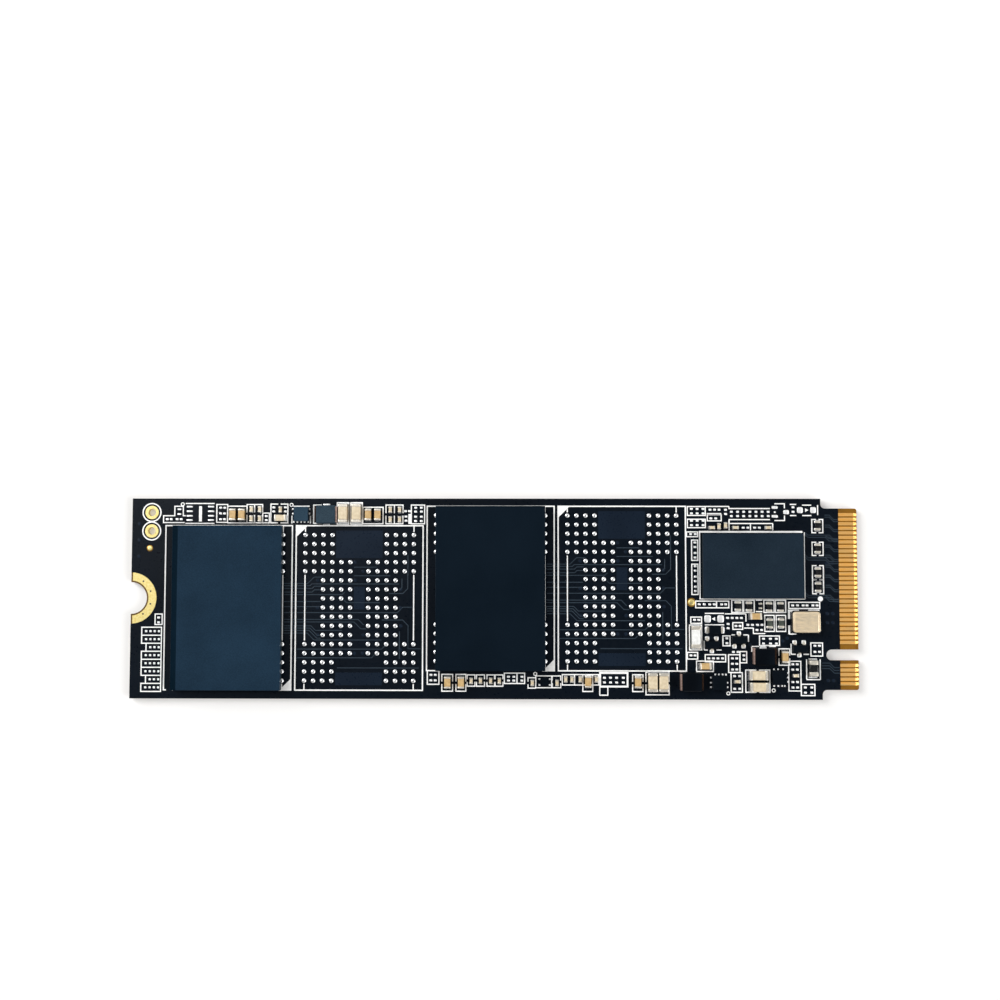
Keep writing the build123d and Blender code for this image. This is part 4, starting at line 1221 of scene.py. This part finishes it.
lay_ridges("covered_traces_top", RUNS, BOARD_TOP)
lay_ridges("covered_traces_bottom", LOWER_RUNS, RELIEF)

# Copper areas under the mask, as corners from the middle of a spare site
AREAS = ((-2.6, 5.45, 2.55, 8.5), (-2.6, -8.5, 2.55, -7.1), (-0.6, -0.2, 0.6, 2.3))
AREA_HEIGHT = 0.014
areas = begin_flat("covered_copper_areas", COVERED_COPPER)
for site in SPARE_SITES:
    for x0, y0, x1, y1 in AREAS:
        draw_plate(site.x + x0, site.y + y0, site.x + x1, site.y + y1, BOARD_TOP - SUNK)
settle(end_flat(areas, AREA_HEIGHT), "solder_mask")

# Vias closed with mask: a shallow dished ring each
SITE_VIAS = [
    *[(-0.45, 2.0), (0.45, 1.0), (4.55, 0.0), (4.6, -2.0), (-0.5, -5.0), (0.4, -5.0)],
    *[(-2.5, 7.0), (-4.6, 3.0), (-4.6, 0.0), (-0.5, 5.0), (0.4, 4.0), (-0.45, 3.0)],
    *[(0.45, -3.0), (-4.55, -3.0), (4.55, 2.0), (4.55, -4.6)],
]
VIAS = [(site.x + x, site.y + y) for site in SPARE_SITES for x, y in SITE_VIAS]
VIAS += [(x, y) for x in (36.6, 37.2) for y in (3.9, -1.6, -2.6, -8.9)]
VIAS += [(-39.2, y) for y in (8.2, 6.4, 4.6)]
VIAS += [(27.6, -5.3), (28.1, -5.0), (31.7, -4.6), (32.2, -4.3), (24.2, -7.6)]
LOWER_VIAS = [(12.5 - 1.0 * step, y) for step in range(14) for y in (-0.9, -4.6)]
LOWER_VIAS += [(-23.5 - 0.8 * step, y) for step in range(12) for y in (4.6, 3.6)]
LOWER_VIAS += [(-10.5 - 1.2 * step, y) for step in range(7) for y in (5.2, 1.4, -6.9)]
LOWER_VIAS += [(27.5 - 1.1 * step, 8.2) for step in range(10)]
LOWER_VIAS += [(-34.5, -4.5 - 0.9 * step) for step in range(6)]
VIA_RADIUS = 0.2
VIA_SUNK = 0.002
via = start_disc("via", VIA_RADIUS, 12, COVERED_COPPER)
shift_up(-VIA_SUNK)
rise((0.012, 0.85), (0.002, 0.6), (-0.008, 0.5))
close_mesh(via, 60)
places = [lay(x, y) for x, y in VIAS] + [lay(x, y, RELIEF, 0, (1, 1, -1)) for x, y in LOWER_VIAS]
vias = lay_copies("covered_vias", via, places)
open_mesh(vias)
settle(close_mesh(vias, 60), "solder_mask")

# Small via holes in the mounting land, on both faces: thin dark discs of painted shade
VIA_SHADE_RADIUS = 0.1
VIA_SHADE_HEIGHT = 0.006
via_shades = begin_flat("mounting_land_vias", HOLLOW)
for x, y in ((-38.65, 1.85), (-37.85, 0.75), (-37.85, -0.65), (-38.65, -1.75)):
    for z in (BOARD_TOP - VIA_SHADE_HEIGHT / 2, 0):
        draw_disc(x, y, VIA_SHADE_RADIUS, 0, z, 12)
settle(end_flat(via_shades, VIA_SHADE_HEIGHT), "gold_plating")

# Camera, fitted to the corners of the card in the photograph
CAMERA_PLACE = (2.52, 1.27, 151.12)
CAMERA_TURN = (3.648, 0.684, 0.07)  # degrees about X, Y and Z, from looking straight down
LENS = 49.07
SENSOR_WIDTH = 36
view = bpy.data.cameras.new("camera")
view.lens = LENS
view.sensor_width = SENSOR_WIDTH
view.clip_start = 10 * MM
camera = add_object("camera", view)
camera.location = Vector(CAMERA_PLACE) * MM
camera.rotation_euler = [math.radians(angle) for angle in CAMERA_TURN]
bpy.context.scene.camera = camera


# Soft boxes round the card, a white room and a plain pale floor
def soft_box(name, place, width, power):
    """A square lamp that faces the card."""
    lamp = bpy.data.lights.new(name, "AREA")
    lamp.size = width * MM
    lamp.energy = power
    holder = add_object(name, lamp)
    holder.location = Vector(place) * MM
    holder.rotation_euler = (-holder.location).to_track_quat("-Z", "Y").to_euler()


def eye_rays(tree):
    """1 for a ray that the eye follows, straight, by a gloss or through glass, and 0 for one that lights."""
    rays = node(tree, "LightPath")
    seen = rays["Is Camera Ray"]
    for kind in ("Is Glossy Ray", "Is Transmission Ray"):
        seen = node(tree, "Math", {0: seen, 1: rays[kind]}, operation="MAXIMUM")[0]
    return seen


soft_box("soft_box_left", (-420, 260, 330), 400, 4.0)
# a small weak one, mirrored just off the upper left corner, lets a faint gloss fall off across the packages
soft_box("soft_box_above", (-150, 94, 489), 70, 0.21)
soft_box("soft_box_right", (420, -160, 300), 340, 2.0)

ROOM_LIGHT = 0.25  # strength of the light that the room throws on the card
DARK_SIDE = Vector((0, -0.25, 1)).normalized()
world = bpy.data.worlds.new("studio")
world.use_nodes = True
sky = world.node_tree
# a dark patch overhead, as a camera makes, keeps the dark surfaces dark
toward = node(sky, "TexCoord")["Generated"]
overhead = node(sky, "VectorMath", {0: toward, 1: DARK_SIDE}, operation="DOT_PRODUCT")["Value"]
patch = {"Value": overhead, "From Min": 0.6, "From Max": 0.98, "To Min": 1, "To Max": 0.03}
room = node(sky, "MapRange", patch, interpolation_type="SMOOTHSTEP")[0]
level = node(sky, "Mix", {"Factor": eye_rays(sky), 2: ROOM_LIGHT, 3: room})[0]
sky.nodes["Background"].inputs["Color"].default_value = linear("#ffffff")
sky.links.new(level, sky.nodes["Background"].inputs["Strength"])
bpy.context.scene.world = world
bpy.context.scene.view_settings.view_transform = "Standard"

FLOOR_SIZE = 3000
FLOOR_LEVEL = -0.03
deselect()
bpy.ops.mesh.primitive_plane_add(size=FLOOR_SIZE * MM, location=(0, 0, FLOOR_LEVEL * MM))
floor = bpy.context.object
floor.name = "floor"
# White card: matte and faintly warm, lifted to white for the eye alone
paper = bpy.data.materials.new("white_card_floor")
paper.use_nodes = True
tree = paper.node_tree
base = tree.nodes["Principled BSDF"]
base.inputs["Base Color"].default_value = linear("#f4f3f1")
base.inputs["Roughness"].default_value = 0.9
# the lift grows away from the card, so that the floor runs into the white room without a grey band
away = node(tree, "TexCoord")["Object"]
away = node(tree, "VectorMath", {0: away}, operation="LENGTH")["Value"]
growth = {"Value": away, "From Min": 0.1, "From Max": 0.6, "To Min": 0.3, "To Max": 1}
lift = node(tree, "MapRange", growth)[0]
lift = node(tree, "Math", {0: eye_rays(tree), 1: lift}, operation="MULTIPLY")[0]
glow = node(tree, "Emission", {"Color": linear("#ffffff"), "Strength": 1})[0]
blend = node(tree, "MixShader", {0: lift, 1: base.outputs[0], 2: glow})[0]
tree.links.new(blend, tree.nodes["Material Output"].inputs["Surface"])
floor.data.materials.append(paper)
